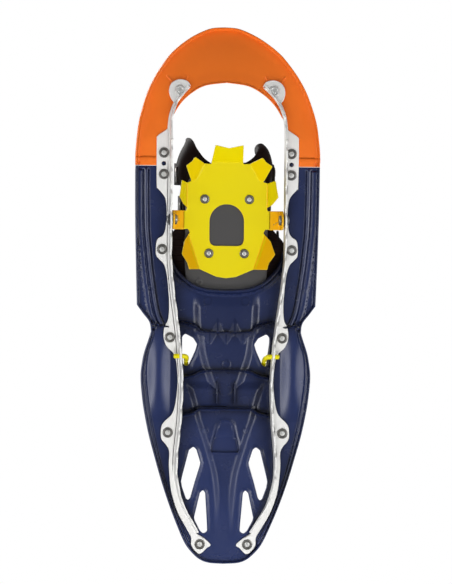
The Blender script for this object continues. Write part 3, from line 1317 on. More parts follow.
def base_top(points, edge):
    x, y = np.abs(points[:, 0]), points[:, 1]
    chevrons = bars(y + 0.45 * x + 100, 9.0, 1.7)
    zone = fall(x, 27, 29) * rise(y, 8, 12) * fall(y, 132, 137)
    clear = np.ones(len(points))
    for rivet_x, rivet_y in CRAMPON_RIVETS:
        clear *= rise(np.hypot(x - rivet_x, y - rivet_y), 6.8, 8.2)
    z = BASE_TOP + 0.8 * chevrons * zone * clear
    z = z + 1.0 * bead(edge - 2.0, 1.6)
    depth_in = np.where(inside(BASE_PAD, points), 1, -1) * dist(points, BASE_PAD, True)
    raised = BASE_TOP + 1.7 * rise(depth_in, -0.6, 0.6) - 0.45 * chevrons * rise(depth_in, 1.5, 2.5)
    return np.where(depth_in > -0.6, raised, z) - round_edge(edge, 0.9)


def base_bottom(points, edge):
    x, y, radius = BASE_RING
    ring = np.abs(np.hypot(points[:, 0] - x, points[:, 1] - y) - radius)
    return BASE_Z - 0.5 * soft(ring, 0.9) + round_edge(edge, 0.9)


base_shape = sheet(sym(curve(BASE, 1.6)),
                   paired_circles(CRAMPON_RIVETS, 2.8) + paired_circles(WING_RIVETS, 2.5),
                   base_top, base_bottom, step=1.7, rings=(0.35, 0.9, 2.0, 3.4),
                   lines=[(straight(BASE_PAD, 1.5, True), (-0.6, 0.0, 0.6))],
                   extra=[circle(*BASE_RING[:2], radius, 26) for radius in (2.0, 2.8, 3.6)])
place(make("binding_base_visual", base_shape, GREY, 38), "binding",
      "binding_base")

# ------------------------------------------------------------------ pins, bushes, strap rivets
# (radius, |x|)
BUSH = [(3.95, 63.15), (6.8, 63.15), (7.1, 63.4), (7.1, 64.15), (5.3, 64.2), (5.3, 66.4),
        (6.4, 66.45), (6.4, 67.3), (5.9, 67.7), (3.95, 67.7)]
PIVOT_PIN = [(1.2, 57.6), (1.7, 57.95), (4.4, 57.75), (5.3, 58.2), (5.6, 58.9), (5.6, 60.6),
             (3.55, 60.65), (3.55, 68.2), (4.0, 68.3), (4.0, 68.9), (3.3, 69.6), (1.4, 69.7),
             (1.0, 69.3)]
for side, sx in SIDES:
    place(make(side + "_pivot_bush_visual", turned_x(BUSH, PIVOT_Y, PIVOT_Z, sx), BUCKLE),
          "frame", side + "_pivot_bush")
    place(make(side + "_pivot_pin_visual", turned_x(PIVOT_PIN, PIVOT_Y, PIVOT_Z, sx), PINSTEEL),
          "binding", side + "_pivot_pin")

# (strap, y, head radius, inner |x|, outer |x|)
STRAP_RIVETS = [("toe_strap", TOE_Y + 2, 4.8, 52.5, 56.5),
                ("instep_strap", INSTEP_Y, 4.8, 47.6, 51.8),
                ("heel_strap", STRAP_Y, 5.4, 53.0, 61.6)]
for strap, y, radius, near, far in STRAP_RIVETS:
    profile = [(0.8, near - 0.45), (1.1, near - 0.8), (3.5, near - 0.85),
               (radius - 0.5, near - 0.5), (radius - 0.4, near), (2.2, near + 0.05), (2.2, far),
               (radius, far + 0.05), (radius - 0.1, far + 0.4), (radius - 1.0, far + 0.75),
               (1.9, far + 0.8), (1.5, far + 0.45), (0.3, far + 0.45)]
    for side, sx in SIDES:
        name = "%s_rivet_%s" % (strap, side)
        place(make(name + "_visual", turned_x(profile, y, STRAP_Z, sx), PINSTEEL),
              "binding", name)

# (radius, z)
WING_RIVET = [(0.4, 29.0), (2.2, 28.9), (2.3, 29.3), (2.3, 36.3), (4.6, 36.3), (4.5, 36.8),
              (3.9, 37.25), (2.0, 37.4), (1.6, 37.0), (0.3, 37.0)]
for k, (x, y) in enumerate(WING_RIVETS):
    for side, sx in SIDES:
        name = "wing_rivet_%s_%s" % (("front", "rear")[k], side)
        verts, faces = turned(WING_RIVET, 36)
        place(make(name + "_visual", (verts + np.array([sx * x, y, 0]), faces), PINSTEEL),
              "binding", name)

# ------------------------------------------------------------------ toe wings
# One row of (|x|, y) for each height, from the rear of the wing to its front.
WING_Z = [34.6, 34.75, 37.7, 44.5, 56.0, 69.5, 82.0, 90.6]
RIGHT_WING = [
    [(33.5, 56), (33.5, 75), (33.5, 95), (33.5, 112), (32.5, 126), (28.5, 138), (22.5, 145.5),
     (18, 148.5)],
    [(44.5, 54), (44.5, 75), (44.5, 95), (44, 112), (42, 128), (38, 141), (31.3, 149.5),
     (25.3, 153.5)],
    [(50.2, 50), (50.2, 75), (50.2, 95), (50.0, 115), (48.6, 132), (45, 146), (38, 155.5),
     (30.5, 159.5)],
    [(53.6, 48), (53.6, 73), (53.6, 95), (53.6, 118), (52.8, 136), (49.8, 151), (42.8, 161.5),
     (34.3, 166)],
    [(54.4, 50), (54.4, 73), (54.4, 95), (54.4, 120), (53.8, 140), (50.2, 156), (44.2, 167),
     (36.3, 172.5)],
    [(52.6, 62), (52.6, 80), (52.6, 98), (52.6, 120), (51.4, 141), (47.4, 158), (42.4, 170),
     (37.0, 175.5)],
    [(47.0, 74), (47.0, 88), (47.0, 103), (47.0, 122), (46.0, 141), (43.4, 158), (41.0, 171),
     (38.4, 177)],
    [(38.5, 84), (38.5, 96), (38.5, 108), (38.5, 124), (38.6, 141), (38.7, 158), (39, 170),
     (39, 177)]]
LEFT_WING = [
    [(33.5, 56), (33.5, 90), (33.4, 115), (32, 128), (29.2, 136), (26.2, 141), (23.8, 144.5),
     (21.3, 147), (19.3, 148.5)],
    [(44.5, 54), (44.5, 90), (44, 115), (42.3, 129), (39.3, 138), (35.8, 143.5), (32.3, 147.5),
     (28.8, 150.5), (25.8, 152)],
    [(50.2, 50), (50.2, 90), (50.2, 118), (49, 134), (46.4, 145), (42.6, 151.5), (38.1, 155),
     (33.6, 156), (30.6, 155.5)],
    [(53.6, 48), (53.6, 90), (53.6, 122), (52.9, 140), (50.9, 152), (47.3, 161), (41.8, 165.5),
     (36.3, 163.5), (34.8, 158.5)],
    [(54.4, 50), (54.4, 90), (54.4, 122), (54.0, 142), (52.0, 155), (48.4, 165), (42.4, 170),
     (36.4, 168), (34.9, 162)],
    [(52.6, 62), (52.6, 95), (52.6, 122), (52.4, 141), (51.2, 155), (48.7, 166), (43, 172),
     (36.8, 169.5), (36.7, 163.5)],
    [(47.0, 74), (47.0, 100), (47.4, 122), (48.4, 141), (49.3, 155), (48.4, 166), (44, 171.7),
     (38.4, 169), (39.2, 163.8)],
    [(38.5, 84), (38.5, 105), (40.5, 124), (43.5, 141), (46.5, 155), (47.2, 165), (44.2, 170.3),
     (40.2, 168), (41.2, 164.5)]]


def spread(line, count):
    """The line resampled to a number of points, evenly by index."""
    at = np.linspace(0, len(line) - 1, count)
    return np.stack([np.interp(at, np.arange(len(line)), column) for column in line.T], 1)


def wing_grid(table, rows=46, cols=96):
    """Mid-surface of a wing on the +X side, drawn in beside the instep."""
    stations = [np.concatenate([[z], np.ravel(row)]) for z, row in zip(WING_Z, table)]
    grid = []
    for row in spread(resample(curve(stations, 0.5), 1.0), rows):
        plan = spread(resample(curve(row[1:].reshape(-1, 2), 1.0), 1.0), cols)
        grid.append(np.column_stack([plan, np.full(cols, row[0])]))
    grid = np.array(grid)
    y, z = grid[..., 1], grid[..., 2]
    along = np.clip((y - 76) / 10, 0, 1) * np.clip((139 - y) / 19, 0, 1)
    grid[..., 0] -= WAIST * along * along * (3 - 2 * along) * np.clip((z - 34) / 10, 0, 1)
    return grid


def grid_edge(grid):
    """Distance of every grid point to the border of its sheet, along the grid."""
    down = np.cumsum(np.linalg.norm(np.diff(grid, axis=0), axis=2), 0)
    across = np.cumsum(np.linalg.norm(np.diff(grid, axis=1), axis=2), 1)
    down = np.vstack([np.zeros((1, grid.shape[1])), down])
    across = np.hstack([np.zeros((grid.shape[0], 1)), across])
    return np.minimum(np.minimum(down, down[-1:] - down),
                      np.minimum(across, across[:, -1:] - across))


def wing_thickness(grid):
    """Thicker rim with a groove inside it, and thin upright hollows high on the wing."""
    edge = grid_edge(grid)
    thickness = 2.1 + 0.9 * bead(edge - 2.2, 2.2) - 0.5 * soft(np.abs(edge - 6.0), 1.2)
    y, z = grid[..., 1], grid[..., 2]
    hollows = np.zeros_like(thickness)
    for hollow_y in (78, 90, 112, 124):
        hollows = np.maximum(hollows, soft(np.abs(y - hollow_y), 3.0) * rise(z, 60, 64)
                             * fall(z, 76, 80))
    return thickness - 0.7 * hollows


def wing_lap(grid, rows=40, cols=60):
    """Second layer over the lower front corner of the wing, pushed off its surface."""
    start = 0.58            # where the lap starts, as a share of the wing's length
    lap = np.empty((rows, cols, 3))
    for i in range(rows):
        for j in range(cols):
            share = min(start + 0.425 * j / (cols - 1), 1.0)
            top = 17 + 30 * ((share - start) / 0.42) ** 1.6
            row = (i / (rows - 1)) * min(top, grid.shape[0] - 1.001)
            col = share * (grid.shape[1] - 1)
            low_row, low_col = int(row), min(int(col), grid.shape[1] - 2)
            row_part, col_part = row - low_row, col - low_col
            upper, lower = (line[low_col] * (1 - col_part) + line[low_col + 1] * col_part
                            for line in (grid[low_row + 1], grid[low_row]))
            lap[i, j] = lower * (1 - row_part) + upper * row_part
    normal = unit(np.cross(np.gradient(lap, axis=1), np.gradient(lap, axis=0)))
    sign = np.sign((normal[..., 0] - normal[..., 2] * 0.6).mean())
    push = 2.3 * rise(np.linspace(0, 1, rows), 0.04, 0.35)[:, None]
    return lap + normal * sign * push[..., None]


for (side, sx), table in zip(SIDES, (LEFT_WING, RIGHT_WING)):
    half_grid = wing_grid(table)
    grid, thickness = half_grid * np.array([sx, 1, 1]), wing_thickness(half_grid)
    if sx > 0:
        grid, thickness = grid[:, ::-1], thickness[:, ::-1]
    place(make(side + "_toe_wing_visual", thick_grid(grid, thickness, 1.0), RUBBER, 60),
          "binding", side + "_toe_wing")
    if sx > 0:
        lap_shape = thick_grid(wing_lap(half_grid)[:, ::-1], 1.6, 0.7)
        place(make("right_toe_wing_lap", lap_shape, RUBBER, 60), "binding")

# ------------------------------------------------------------------ toe and instep straps
ARCH_PATH = [(59.0, 45), (59.4, 57), (57.8, 71), (52.0, 86), (40.5, 97.2), (22, 103), (0, 105)]
ALONG_Y, ALONG_Z = np.array((0, 1, 0)), np.array((0, 0, 1))


def ribbon(name, path, widths, across, thickness, material, cols=13, edge=0.7, ribs=None):
    """Strap along a 3-D path, spread out in the direction across.

    ribs gives the extra thickness of the grid for shares of the width from -0.5 to 0.5.
    The UV map is in metres: X across the strap, Y along it.
    """
    path, widths = np.asarray(path, float), np.asarray(widths)
    rows = len(path)
    shares = np.linspace(-0.5, 0.5, cols)
    grid = path[:, None] + across * widths[:, None, None] * shares[None, :, None]
    thick = np.full((rows, cols), float(thickness))
    if ribs is not None:
        thick = thick + ribs(shares)
    obj = make(name, thick_grid(grid, thick, edge), material, 50)
    length = float(np.linalg.norm(np.diff(path, axis=0), axis=1).sum())
    width = float(np.mean(widths))
    cells = ([(i, j) for i in range(rows) for j in range(cols)] * 2
             + rim_cells(rows, cols) * 3)
    if len(cells) != len(obj.data.vertices):
        raise RuntimeError("strap has merged points")
    layer = obj.data.uv_layers.new(name="UVMap")
    for loop in obj.data.loops:
        i, j = cells[loop.vertex_index]
        layer.data[loop.index].uv = (j / (cols - 1) * width * MM, i / (rows - 1) * length * MM)
    return obj


def arch_path(height, out, inset, upper_inset):
    """(x, z) from +X to -X over the foot, raised by height and moved out from the middle."""
    half = []
    for x, z in ARCH_PATH:
        draw = inset + (upper_inset - inset) * min(1.0, max(0.0, (z - 60) / 26))
        half.append((x - draw * min(1.0, x / 40), z + height * max(0.0, z - 57) / 48))
    half = offset(curve(half, 0.8), -(STRAP_T / 2 + out))
    return resample(np.vstack([half, flip_x(half[::-1][1:])]), 1.0)


def at_y(plan, y):
    return np.column_stack([plan[:, 0], np.full(len(plan), y), plan[:, 1]])


def ladder(name, y, plan, run):
    """Toothed tongue on the strap, from the buckle to its free end; run is from the middle."""
    part = (run > -6) & (run < 62)
    run = run[part]

    def teeth(shares):
        saw = (run / 4.2) % 1.0
        return (0.9 * np.clip(1 - saw, 0, 1) * (run > 17))[:, None] * (np.abs(shares) < 0.36)

    widths = 17.0 * np.sqrt(np.clip((64.5 - run) / 9.0, 0.02, 1.0))
    return ribbon(name, at_y(plan[part], y), widths, ALONG_Y, 1.5, RUBBER, cols=15, edge=0.6,
                  ribs=teeth)


def keeper(y, plan, index):
    """Flat loop round the strap and its ladder at one point of the path."""
    centre = plan[index]
    along = (plan[index + 1] - plan[index - 1]) / np.linalg.norm(plan[index + 1] - plan[index - 1])
    out = np.array([-along[1], along[0]])
    if out @ centre < 0:
        out = -out
    loop = []
    for angle in np.linspace(0, 2 * math.pi, 41)[:-1]:
        cosine, sine = math.cos(angle), math.sin(angle)
        width = 13.9 * np.sign(cosine) * abs(cosine) ** 0.35
        height = 3.0 * np.sign(sine) * abs(sine) ** 0.5
        x, z = centre + out * (height - 0.9)
        loop.append(np.array((x, y + width, z)))
    loop.append(loop[0])
    ahead = np.array([along[0], 0, along[1]])
    rows = [[point + ahead * shift for shift in np.linspace(-3.2, 3.2, 7)] for point in loop]
    return thick_grid(np.array(rows), 1.3, 0.5)


# (strap, y, added height, inset at the sides, inset higher up)
ARCH_STRAPS = [("toe_strap", TOE_Y, 0.0, 4.2, 0.5), ("instep_strap", INSTEP_Y, 9.0, 9.0, WAIST)]
for name, y, height, inset, upper_inset in ARCH_STRAPS:
    path = at_y(arch_path(height, -0.3, inset, upper_inset), y)
    strap_obj = ribbon(name + "_visual", path, 15.0 + 8.5 * rise(path[:, 2], 44.0, 70.0),
                       ALONG_Y, 1.4, WEB)
    place(strap_obj, "binding", name)
    plan = arch_path(height, 1.4, inset, upper_inset)
    run = run_length(plan)
    middle = run[np.argmin(np.abs(plan[:, 0]))]
    place(ladder(name + "_ladder", y, plan, run - middle), "binding")
    keeper_shape = keeper(y, plan, int(np.argmin(np.abs(run - (middle + 30)))))
    place(make(name + "_keeper", keeper_shape, BUCKLE, 50), "binding")


# ------------------------------------------------------------------ cam buckles
# Buckle parts are drawn with their first axis along the strap, the second outwards and the
# third across the strap.
def frame_of(at, along, out):
    along, out = Vector(along).normalized(), Vector(out).normalized()
    return np.array([list(along), list(out), list(along.cross(out))]), np.array(at, float)


def local_piece(name, parts, basis, material, width):
    """Object from parts in a buckle's axes, bevelled if a width is given."""
    verts, faces = merge(parts)
    rotation, at = basis
    obj = make(name, (verts @ rotation + at, faces), material)
    return bevel(obj, width, segments=3, angle=40) if width else obj


def arc(x, y, radius, start, end, count):
    return [(x + radius * math.cos(math.radians(a)), y + radius * math.sin(math.radians(a)))
            for a in np.linspace(start, end, count)]


BUCKLE_FLOOR = [(-13.6, 0.2), (13.6, 0.2), (13.9, 0.6), (13.9, 2.0), (13.5, 2.4), (-13.5, 2.4),
                (-13.9, 2.0), (-13.9, 0.6)]
BUCKLE_LUG = ([(3.2, 2.2), (13.9, 2.2), (13.9, 4.6)] + arc(10.2, 4.9, 3.3, 0, 150, 12)
              + [(5.9, 3.6), (4.6, 2.6)])
BUCKLE_SIDE = [(-13.9, 2.0), (4.8, 2.0), (3.9, 3.5), (-13.0, 3.2)]
BUCKLE_NIB = [(-13.2, 2.2), (-12.2, 2.2), (-12.4, 2.9), (-13.0, 2.9)]
BUCKLE_PIN = [(0.3, -13.5), (0.8, -13.45), (1.05, -13.1), (1.05, 13.1), (0.8, 13.45),
              (0.3, 13.5)]                  # (radius, position across)
LEVER = ([(-14.4, 5.4), (-13.2, 4.3), (7.2, 4.25), (8.4, 3.3)]
         + arc(10, 5.4, 2.5, -120, 120, 16)
         + [(8.0, 7.15), (5.0, 6.6), (-4.0, 6.3), (-9.0, 6.35), (-13.2, 6.75), (-14.3, 6.2)])
LEVER_EDGE = [(-13.4, 6.0), (6.4, 6.2), (6.0, 7.1), (-12.8, 7.2)]


def cam_buckle(name, at, along, out, body, lever_body):
    basis = frame_of(at, along, out)
    parts = [prism(BUCKLE_FLOOR, -12.9, 12.9)]
    parts += [prism(BUCKLE_LUG, *span) for span in ((-13, -10.7), (10.7, 13))]
    parts += [prism(BUCKLE_SIDE, *span) for span in ((-13, -11.2), (11.2, 13))]
    parts += [prism(BUCKLE_NIB, -8 + 5.6 * k, -4.4 + 5.6 * k) for k in range(3)]
    place(local_piece(name + "_body_visual", parts, basis, BUCKLE, 0.35),
          body, name + "_body")
    pin, faces = turned(BUCKLE_PIN, 32)
    pin = np.column_stack([pin[:, 0] + 10, pin[:, 1] + 5.4, pin[:, 2]])
    place(local_piece(name + "_pin_visual", [(pin, faces)], basis, PINSTEEL, 0),
          body, name + "_pin")
    parts = [prism(LEVER, -10.0, 10.0)]
    for k in range(6):
        start = -12.6 + 1.7 * k
        parts.append(prism([(start, 6.0), (start + 0.95, 6.0), (start + 0.75, 7.05),
                            (start + 0.2, 7.05)], -8.2, 8.2))
    parts += [prism(LEVER_EDGE, *span) for span in ((-9.9, -8.9), (8.9, 9.9))]
    place(local_piece(name + "_lever_visual", parts, basis, BUCKLE, 0.3),
          lever_body, name + "_lever")
    ring = [(2.0 + 3.0 * math.cos(a), 6.45, 3.0 * math.sin(a))
            for a in np.linspace(0, 2 * math.pi, 41)]
    place(local_piece(name + "_lever_ring", [sweep(ring, 0.32, 10, cap=False)], basis, BUCKLE, 0),
          lever_body)


cam_buckle("toe_buckle", (0, TOE_Y, 105 + STRAP_T + 0.4), (1, 0, 0), (0, 0, 1), "binding",
           "toe_lever")
cam_buckle("instep_buckle", (0, INSTEP_Y, 114 + STRAP_T + 0.4), (1, 0, 0), (0, 0, 1), "binding",
           "instep_lever")

# ------------------------------------------------------------------ heel strap
BAND = [(59.3, 73), (59.3, 60), (59.3, 30), (59.2, 5), (56, -40), (50, -85), (40, -118),
        (22, -138), (0, -144)]
BAND_SLOPE = 0.127          # climb towards the heel
BAND_STEP = 1.5


def band_z(y):
    return STRAP_Z + BAND_SLOPE * (STRAP_Y - y)


def band_path(out):
    """Path round the heel from +X to -X, moved outwards."""
    half = offset(curve(BAND, 1.0), 1.1 + out)
    half[-1, 0] = 0.0
    plan = resample(np.vstack([half, flip_x(half[::-1][1:])]), BAND_STEP)
    return np.column_stack([plan, band_z(plan[:, 1])])


def end_run(path):
    """Distance of each path point to the nearer end."""
    index = np.arange(len(path))
    return np.minimum(index, index[::-1]) * BAND_STEP


path = band_path(0.0)
widths = 19.0 * np.sqrt(np.clip((end_run(path) + 1.0) / 8.0, 0.05, 1.0))
place(ribbon("heel_strap_visual", path, widths, ALONG_Z, 2.0, WEB), "heel_loop",
      "heel_strap")

# Rubber cup behind the heel, with lengthwise ribs.
path = band_path(0.15)
path = path[path[:, 1] < -62]
cup_run = end_run(path)


def cup_ribs(shares):
    section = 0.7 * bars(shares * 18 + 50, 4.4, 1.1)
    return np.clip(cup_run / 6.0, 0, 1)[:, None] * section * (np.abs(shares) < 0.42)


widths = 18.4 * np.sqrt(np.clip((cup_run + 1.5) / 10.0, 0.05, 1.0))
place(ribbon("heel_cup", path, widths, ALONG_Z, 2.35, RUBBER, cols=31, ribs=cup_ribs),
      "heel_loop")
cam_buckle("heel_buckle", (59.4 + 2.2 + 0.35, 26, band_z(26)), (0, 1, -BAND_SLOPE), (1, 0, 0),
           "heel_loop", "heel_lever")

# Red slider on the left side, with five grip bars.
slider = [prism([(-6.5, 1.0), (6.5, 1.0), (6.0, 1.75), (-6.0, 1.75)], -10.2, 10.2),
          prism([(-6.5, -1.6), (6.5, -1.6), (6.5, -1.1), (-6.5, -1.1)], -10.2, 10.2)]
for span in ((-10.6, -9.6), (9.6, 10.6)):
    slider.append(prism([(-6.4, -1.5), (6.4, -1.5), (6.4, 1.6), (-6.4, 1.6)], *span))
for k in range(5):
    shift = 2.2 * k
    slider.append(prism([(-4.6 + shift, 1.4), (-3.7 + shift, 1.4), (-3.8 + shift, 2.15),
                         (-4.5 + shift, 2.15)], -8, 8))
slider_basis = frame_of((-60.5, 53.0, band_z(53)), (0, 1, -BAND_SLOPE), (-1, 0, 0))
place(local_piece("heel_strap_slider", slider, slider_basis, RED, 0.25), "heel_loop")

# Curled, ribbed end of the strap inside the binding: a lead-in, then a tightening spiral.
CURL_X, CURL_Y = 49.5, 43.5
spiral = []
for share in np.linspace(0, 1, 90):
    angle, radius = np.radians(200 - 430 * share), 9.0 - 4.0 * share
    spiral.append((CURL_X + radius * math.cos(angle) * 0.72, CURL_Y + radius * math.sin(angle),
                   44.0 + 3.0 * share))
path = curve([(56.2, 57.0, 46.0), (55.6, 53.0, 45.2), (54.6, 50.5, 44.6)] + spiral[18:], 0.9)
curl_bars = 0.9 * bars(np.arange(len(path)) * 0.9, 3.6, 1.5)
place(ribbon("strap_end_curl", path, np.full(len(path), 13.0), ALONG_Z, 1.7, RUBBER, cols=11,
             ribs=lambda shares: curl_bars[:, None] * (np.abs(shares) < 0.44)),
      "binding")

# ------------------------------------------------------------------ heel lifter
LIFTER_R = 2.72
BAR_Z = LIFT_Z + 17.6       # height of the cross bar
LIFTER_HALF = [
    (60.2, LIFT_Y, LIFT_Z), (54.0, LIFT_Y, LIFT_Z), (49.6, LIFT_Y, LIFT_Z),
    (46.6, LIFT_Y - 0.4, LIFT_Z + 1.0), (45.1, LIFT_Y - 1.5, LIFT_Z + 4.0),
    (44.6, LIFT_Y - 3.0, LIFT_Z + 10), (44.5, LIFT_Y - 4.3, LIFT_Z + 14.4),
    (44.3, LIFT_Y - 7.5, LIFT_Z + 17.0), (43.6, LIFT_Y - 13, BAR_Z), (40.2, -102, BAR_Z),
    (36.4, -121, BAR_Z), (33.6, -128.3, BAR_Z), (27.5, -131.9, BAR_Z), (14, -132.5, BAR_Z),
    (0, -132.5, BAR_Z)]
half = curve(LIFTER_HALF, 0.9)
path = np.vstack([half, half[::-1][1:] * np.array([-1, 1, 1])])
run = run_length(path)
radii = LIFTER_R - round_edge(np.minimum(run, run[-1] - run), 0.9)
place(make("heel_lifter_visual", sweep(path, radii, 28), LIFTER, 50), "lifter",
      "heel_lifter")

# ------------------------------------------------------------------ heel pad
HEEL_PAD = [(0, -17), (24, -17), (27, -24), (25.5, -60), (19, -86), (10, -106), (0, -112)]


def pad_top(points, edge):
    x, y = np.abs(points[:, 0]), points[:, 1]
    z = 30.9 + 1.1 * bars(y + 0.5 * x + 200, 8.0, 2.2) * rise(edge, 3.0, 4.5)
    return z + 0.9 * bead(edge - 1.8, 1.5) - round_edge(edge, 1.0)


def pad_bottom(points, edge):
    return 27.6 + round_edge(edge, 0.5)


pad_shape = sheet(rounded(sym(HEEL_PAD), 3.0, 1.5), [], pad_top, pad_bottom, step=1.5,
                  rings=(0.4, 1.0, 2.2, 3.4))
place(make("heel_pad_visual", pad_shape, PAD, 38), "frame", "heel_pad")

# ------------------------------------------------------------------ rubber skirt
# It goes round the rear of the binding base; its outer edge differs from right to left.
SKIRT_RIGHT = [(54, 78), (60.5, 71), (63.0, 58), (63.1, 47), (60.2, 32), (51.8, 18), (40, 5),
               (26, -3.0), (0, -5.5)]
SKIRT_LEFT = [(52, 76), (58.5, 68.5), (66.0, 59), (66.0, 46), (62.4, 32), (52.6, 18), (40, 5),
              (26, -3.0), (0, -5.5)]
SKIRT_INNER = [(44.4, 76), (44.4, 60), (44.2, 42), (43.4, 28), (41.6, 20.5), (34.5, 8.0),
               (24, 3.4), (0, 1.4)]
skirt_inner_half = curve(SKIRT_INNER, 1.8)


def skirt_rise(points):
    """Rise of the skirt towards its outer edge."""
    share = np.clip(dist(fold_x(points), skirt_inner_half) / 14.0, 0, 1)
    return 1.2 * share * share


def skirt_top(points, edge):
    return 35.2 + skirt_rise(points) + 0.6 * bead(edge - 2.0, 1.6) - round_edge(edge, 0.8)


def skirt_bottom(points, edge):
    y = points[:, 1]
    rib = bars(y + 200, 6.0, 1.4) * rise(edge, 2.0, 3.2) * rise(y, 14, 24)
    return 33.0 + skirt_rise(points) - 0.5 * rib + round_edge(edge, 0.8)


skirt_loop = np.vstack([curve(SKIRT_RIGHT, 1.8), flip_x(curve(SKIRT_LEFT, 1.8))[::-1][1:],
                        flip_x(skirt_inner_half), skirt_inner_half[::-1][1:]])
skirt_shape = sheet(skirt_loop, [], skirt_top, skirt_bottom, step=1.5,
                    rings=(0.4, 1.0, 2.2, 3.4))
place(make("binding_skirt", skirt_shape, RUBBER, 38), "binding")

# ------------------------------------------------------------------ stamped marks
# Slightly raised wire lines under the crampon plate: two open rings and three dashes.
MARK_X, MARK_Y, MARK_Z = 56.2, 86.2, CRAMPON_LOW - 0.02


def mark(name, path, radius):
    place(make(name, sweep(path, radius, 8), DARKLINE, 60), "binding")


# (name, ring radius, start and end angle, points, wire radius)
for name, size, start, end, count, wire in (("tab_ring_outer", 2.9, -150, 110, 40, 0.28),
                                            ("tab_ring_inner", 1.3, -60, 260, 30, 0.22)):
    mark(name, [(MARK_X + size * math.cos(a), MARK_Y + size * math.sin(a), MARK_Z)
                for a in np.radians(np.linspace(start, end, count))], wire)
for k in range(3):
    x, shift = -53.0 - 2.4 * k, 1.5 * k
    dash = [(x, 79.6 + shift, MARK_Z), (x - 1.2, 81.3 + shift, MARK_Z)]
    mark("tab_dash_%d" % k, resample(dash, 0.3), 0.3)


# ------------------------------------------------------------------ world
def build_world():
    """White to the camera, dimmer as light, and darker in reflections with paler side walls."""
    world = bpy.data.worlds.new("studio")
    bpy.context.scene.world = world
    g = Graph(world)
    g.tree.nodes.clear()
    rays = g.node("ShaderNodeLightPath").outputs
    glossy = rays["Is Glossy Ray"]
    level = g.ramp(glossy, between=(0.0, 1.0), to=(0.37, 0.14))
    direction = g.node("ShaderNodeSeparateXYZ",
                       {0: g.node("ShaderNodeTexCoord").outputs["Generated"]})
    sideways = g.node("ShaderNodeMath", {0: direction.outputs["X"]}, operation="ABSOLUTE")
    walls = g.ramp(sideways.outputs[0], between=(0.20, 0.70), to=(0.0, 0.5),
                   interpolation_type="SMOOTHSTEP")
    strength = g.node("ShaderNodeMath", {0: walls, 1: glossy, 2: level},
                      operation="MULTIPLY_ADD")
    dim = g.node("ShaderNodeBackground",
                 {"Color": (0.98, 0.99, 1.0, 1), "Strength": strength.outputs[0]})
    white = g.node("ShaderNodeBackground", {"Color": (1, 1, 1, 1), "Strength": 1.0})
    seen = g.node("ShaderNodeMixShader",
                  {0: rays["Is Camera Ray"], 1: dim.outputs[0], 2: white.outputs[0]})
    g.node("ShaderNodeOutputWorld", {0: seen.outputs[0]})


# ------------------------------------------------------------------ floor
def floor_material():
    """Backdrop paper that brightens away from the object; only the camera sees it, from above."""
    g = Graph(bpy.data.materials.new("studio floor"))
    paper = g.tree.nodes["Principled BSDF"]
    paper.inputs["Roughness"].default_value = 0.7
    noise = g.node("ShaderNodeTexNoise", {"Scale": 3.0}).outputs["Fac"]
    shade = g.ramp(noise, between=(0.0, 1.0), to=(0.86, 0.90))
    grey = g.node("ShaderNodeCombineColor", {0: shade, 1: shade, 2: shade})
    g.plug(paper.inputs["Base Color"], grey.outputs[0])
    geometry = g.node("ShaderNodeNewGeometry").outputs
    reach = g.node("ShaderNodeVectorMath", {0: geometry["Position"]}, operation="LENGTH")
    glow_share = g.ramp(reach.outputs["Value"], between=(0.35, 1.1), to=(0.42, 1.0),
                        interpolation_type="SMOOTHSTEP")
    glow = g.node("ShaderNodeEmission", {"Color": (0.90, 0.90, 0.90, 1.0)})
    sweep_up = g.node("ShaderNodeMixShader",
                      {0: glow_share, 1: paper.outputs[0], 2: glow.outputs[0]})
    camera_ray = g.node("ShaderNodeLightPath").outputs["Is Camera Ray"]
    from_above = g.node("ShaderNodeMath", {0: camera_ray, 1: geometry["Backfacing"]},
                        operation="SUBTRACT", use_clamp=True)
    clear = g.node("ShaderNodeBsdfTransparent")
    seen = g.node("ShaderNodeMixShader",
                  {0: from_above.outputs[0], 1: clear.outputs[0], 2: sweep_up.outputs[0]})
    g.plug(g.tree.nodes["Material Output"].inputs["Surface"], seen.outputs[0])
    return g.owner


def build_floor():
    size, z = 6, -0.0015
    mesh = bpy.data.meshes.new("studio_floor")
    mesh.from_pydata([(-size, -size, z), (size, -size, z), (size, size, z), (-size, size, z)],
                     [], [(0, 1, 2, 3)])
    mesh.materials.append(floor_material())
    obj = bpy.data.objects.new("studio_floor", mesh)
    bpy.context.scene.collection.objects.link(obj)
    return obj


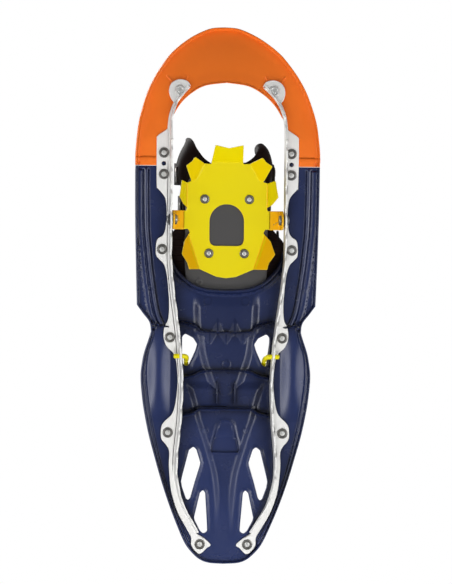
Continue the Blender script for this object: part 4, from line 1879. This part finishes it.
# ------------------------------------------------------------------ lights
# (name, place, width, height, power in watts, kind of ray that misses it); all face the origin
LIGHTS = [
    ("under_main", (0.2, -1.5, -2.1), 1.1, 1.1, 40.0, "glossy"),
    ("under_left", (1.5, 0.1, -0.95), 0.26, 1.9, 7.0, None),
    ("under_right", (-1.45, 0.1, -1.0), 0.24, 1.9, 7.0, None),
    ("gloss_left", (1.5, 0.1, -1.15), 0.30, 1.9, 3.0, "diffuse"),
    ("gloss_right", (-1.45, 0.1, -1.2), 0.28, 1.9, 3.0, "diffuse"),
    ("gloss_near_left", (0.9, -0.3, -1.75), 0.5, 0.9, 4.0, "diffuse"),
    ("gloss_near_right", (-1.0, -0.3, -1.75), 0.5, 0.9, 5.0, "diffuse"),
    ("top_key", (1.2, 1.0, 1.7), 1.2, 1.2, 36.0, None),
    ("top_fill", (-1.5, -0.6, 1.3), 1.0, 1.4, 20.0, None),
    ("top_back", (0.2, -1.8, 1.4), 1.4, 0.8, 14.0, None)]


def area_light(name, at, width, height, power, hidden_from):
    lamp = bpy.data.lights.new(name, "AREA")
    lamp.shape = "RECTANGLE"
    lamp.size, lamp.size_y = width, height
    lamp.energy = power
    obj = bpy.data.objects.new(name, lamp)
    obj.location = at
    obj.rotation_euler = (-Vector(at)).to_track_quat("-Z", "Y").to_euler()
    bpy.context.scene.collection.objects.link(obj)
    if hidden_from:
        setattr(obj, "visible_" + hidden_from, False)
    return obj


# ------------------------------------------------------------------ camera
def build_camera():
    """Long lens that looks up at the underside, slightly tilted and rolled."""
    distance, tilt, roll = 10.0, math.radians(5.5), math.radians(0.6)
    aim = Vector((0.00016, 0.0034, 0.026))
    view_height, sensor = 0.6623, 24.0      # metres seen at the aim; sensor in mm
    data = bpy.data.cameras.new("photo_camera")
    camera = bpy.data.objects.new("photo_camera", data)
    bpy.context.scene.collection.objects.link(camera)
    at = aim + Vector((math.sin(tilt), 0.0, -math.cos(tilt))) * distance
    view = (aim - at).normalized()
    up = Vector((math.sin(roll), math.cos(roll), 0.0))
    right = view.cross(up).normalized()
    up = right.cross(view).normalized()
    camera.matrix_world = Matrix([(right[k], up[k], -view[k], at[k]) for k in range(3)]
                                 + [(0, 0, 0, 1)])
    data.sensor_fit = "VERTICAL"
    data.sensor_height = sensor
    data.lens = sensor / 2 / (view_height / 2 / distance)
    data.clip_start = 0.05
    data.clip_end = 50.0
    bpy.context.scene.camera = camera
    return camera


build_world()
staged = [build_floor()]
staged += [area_light(*light) for light in LIGHTS]
staged.append(build_camera())
bpy.context.scene.view_settings.view_transform = "Standard"
bpy.context.scene.view_settings.look = "None"
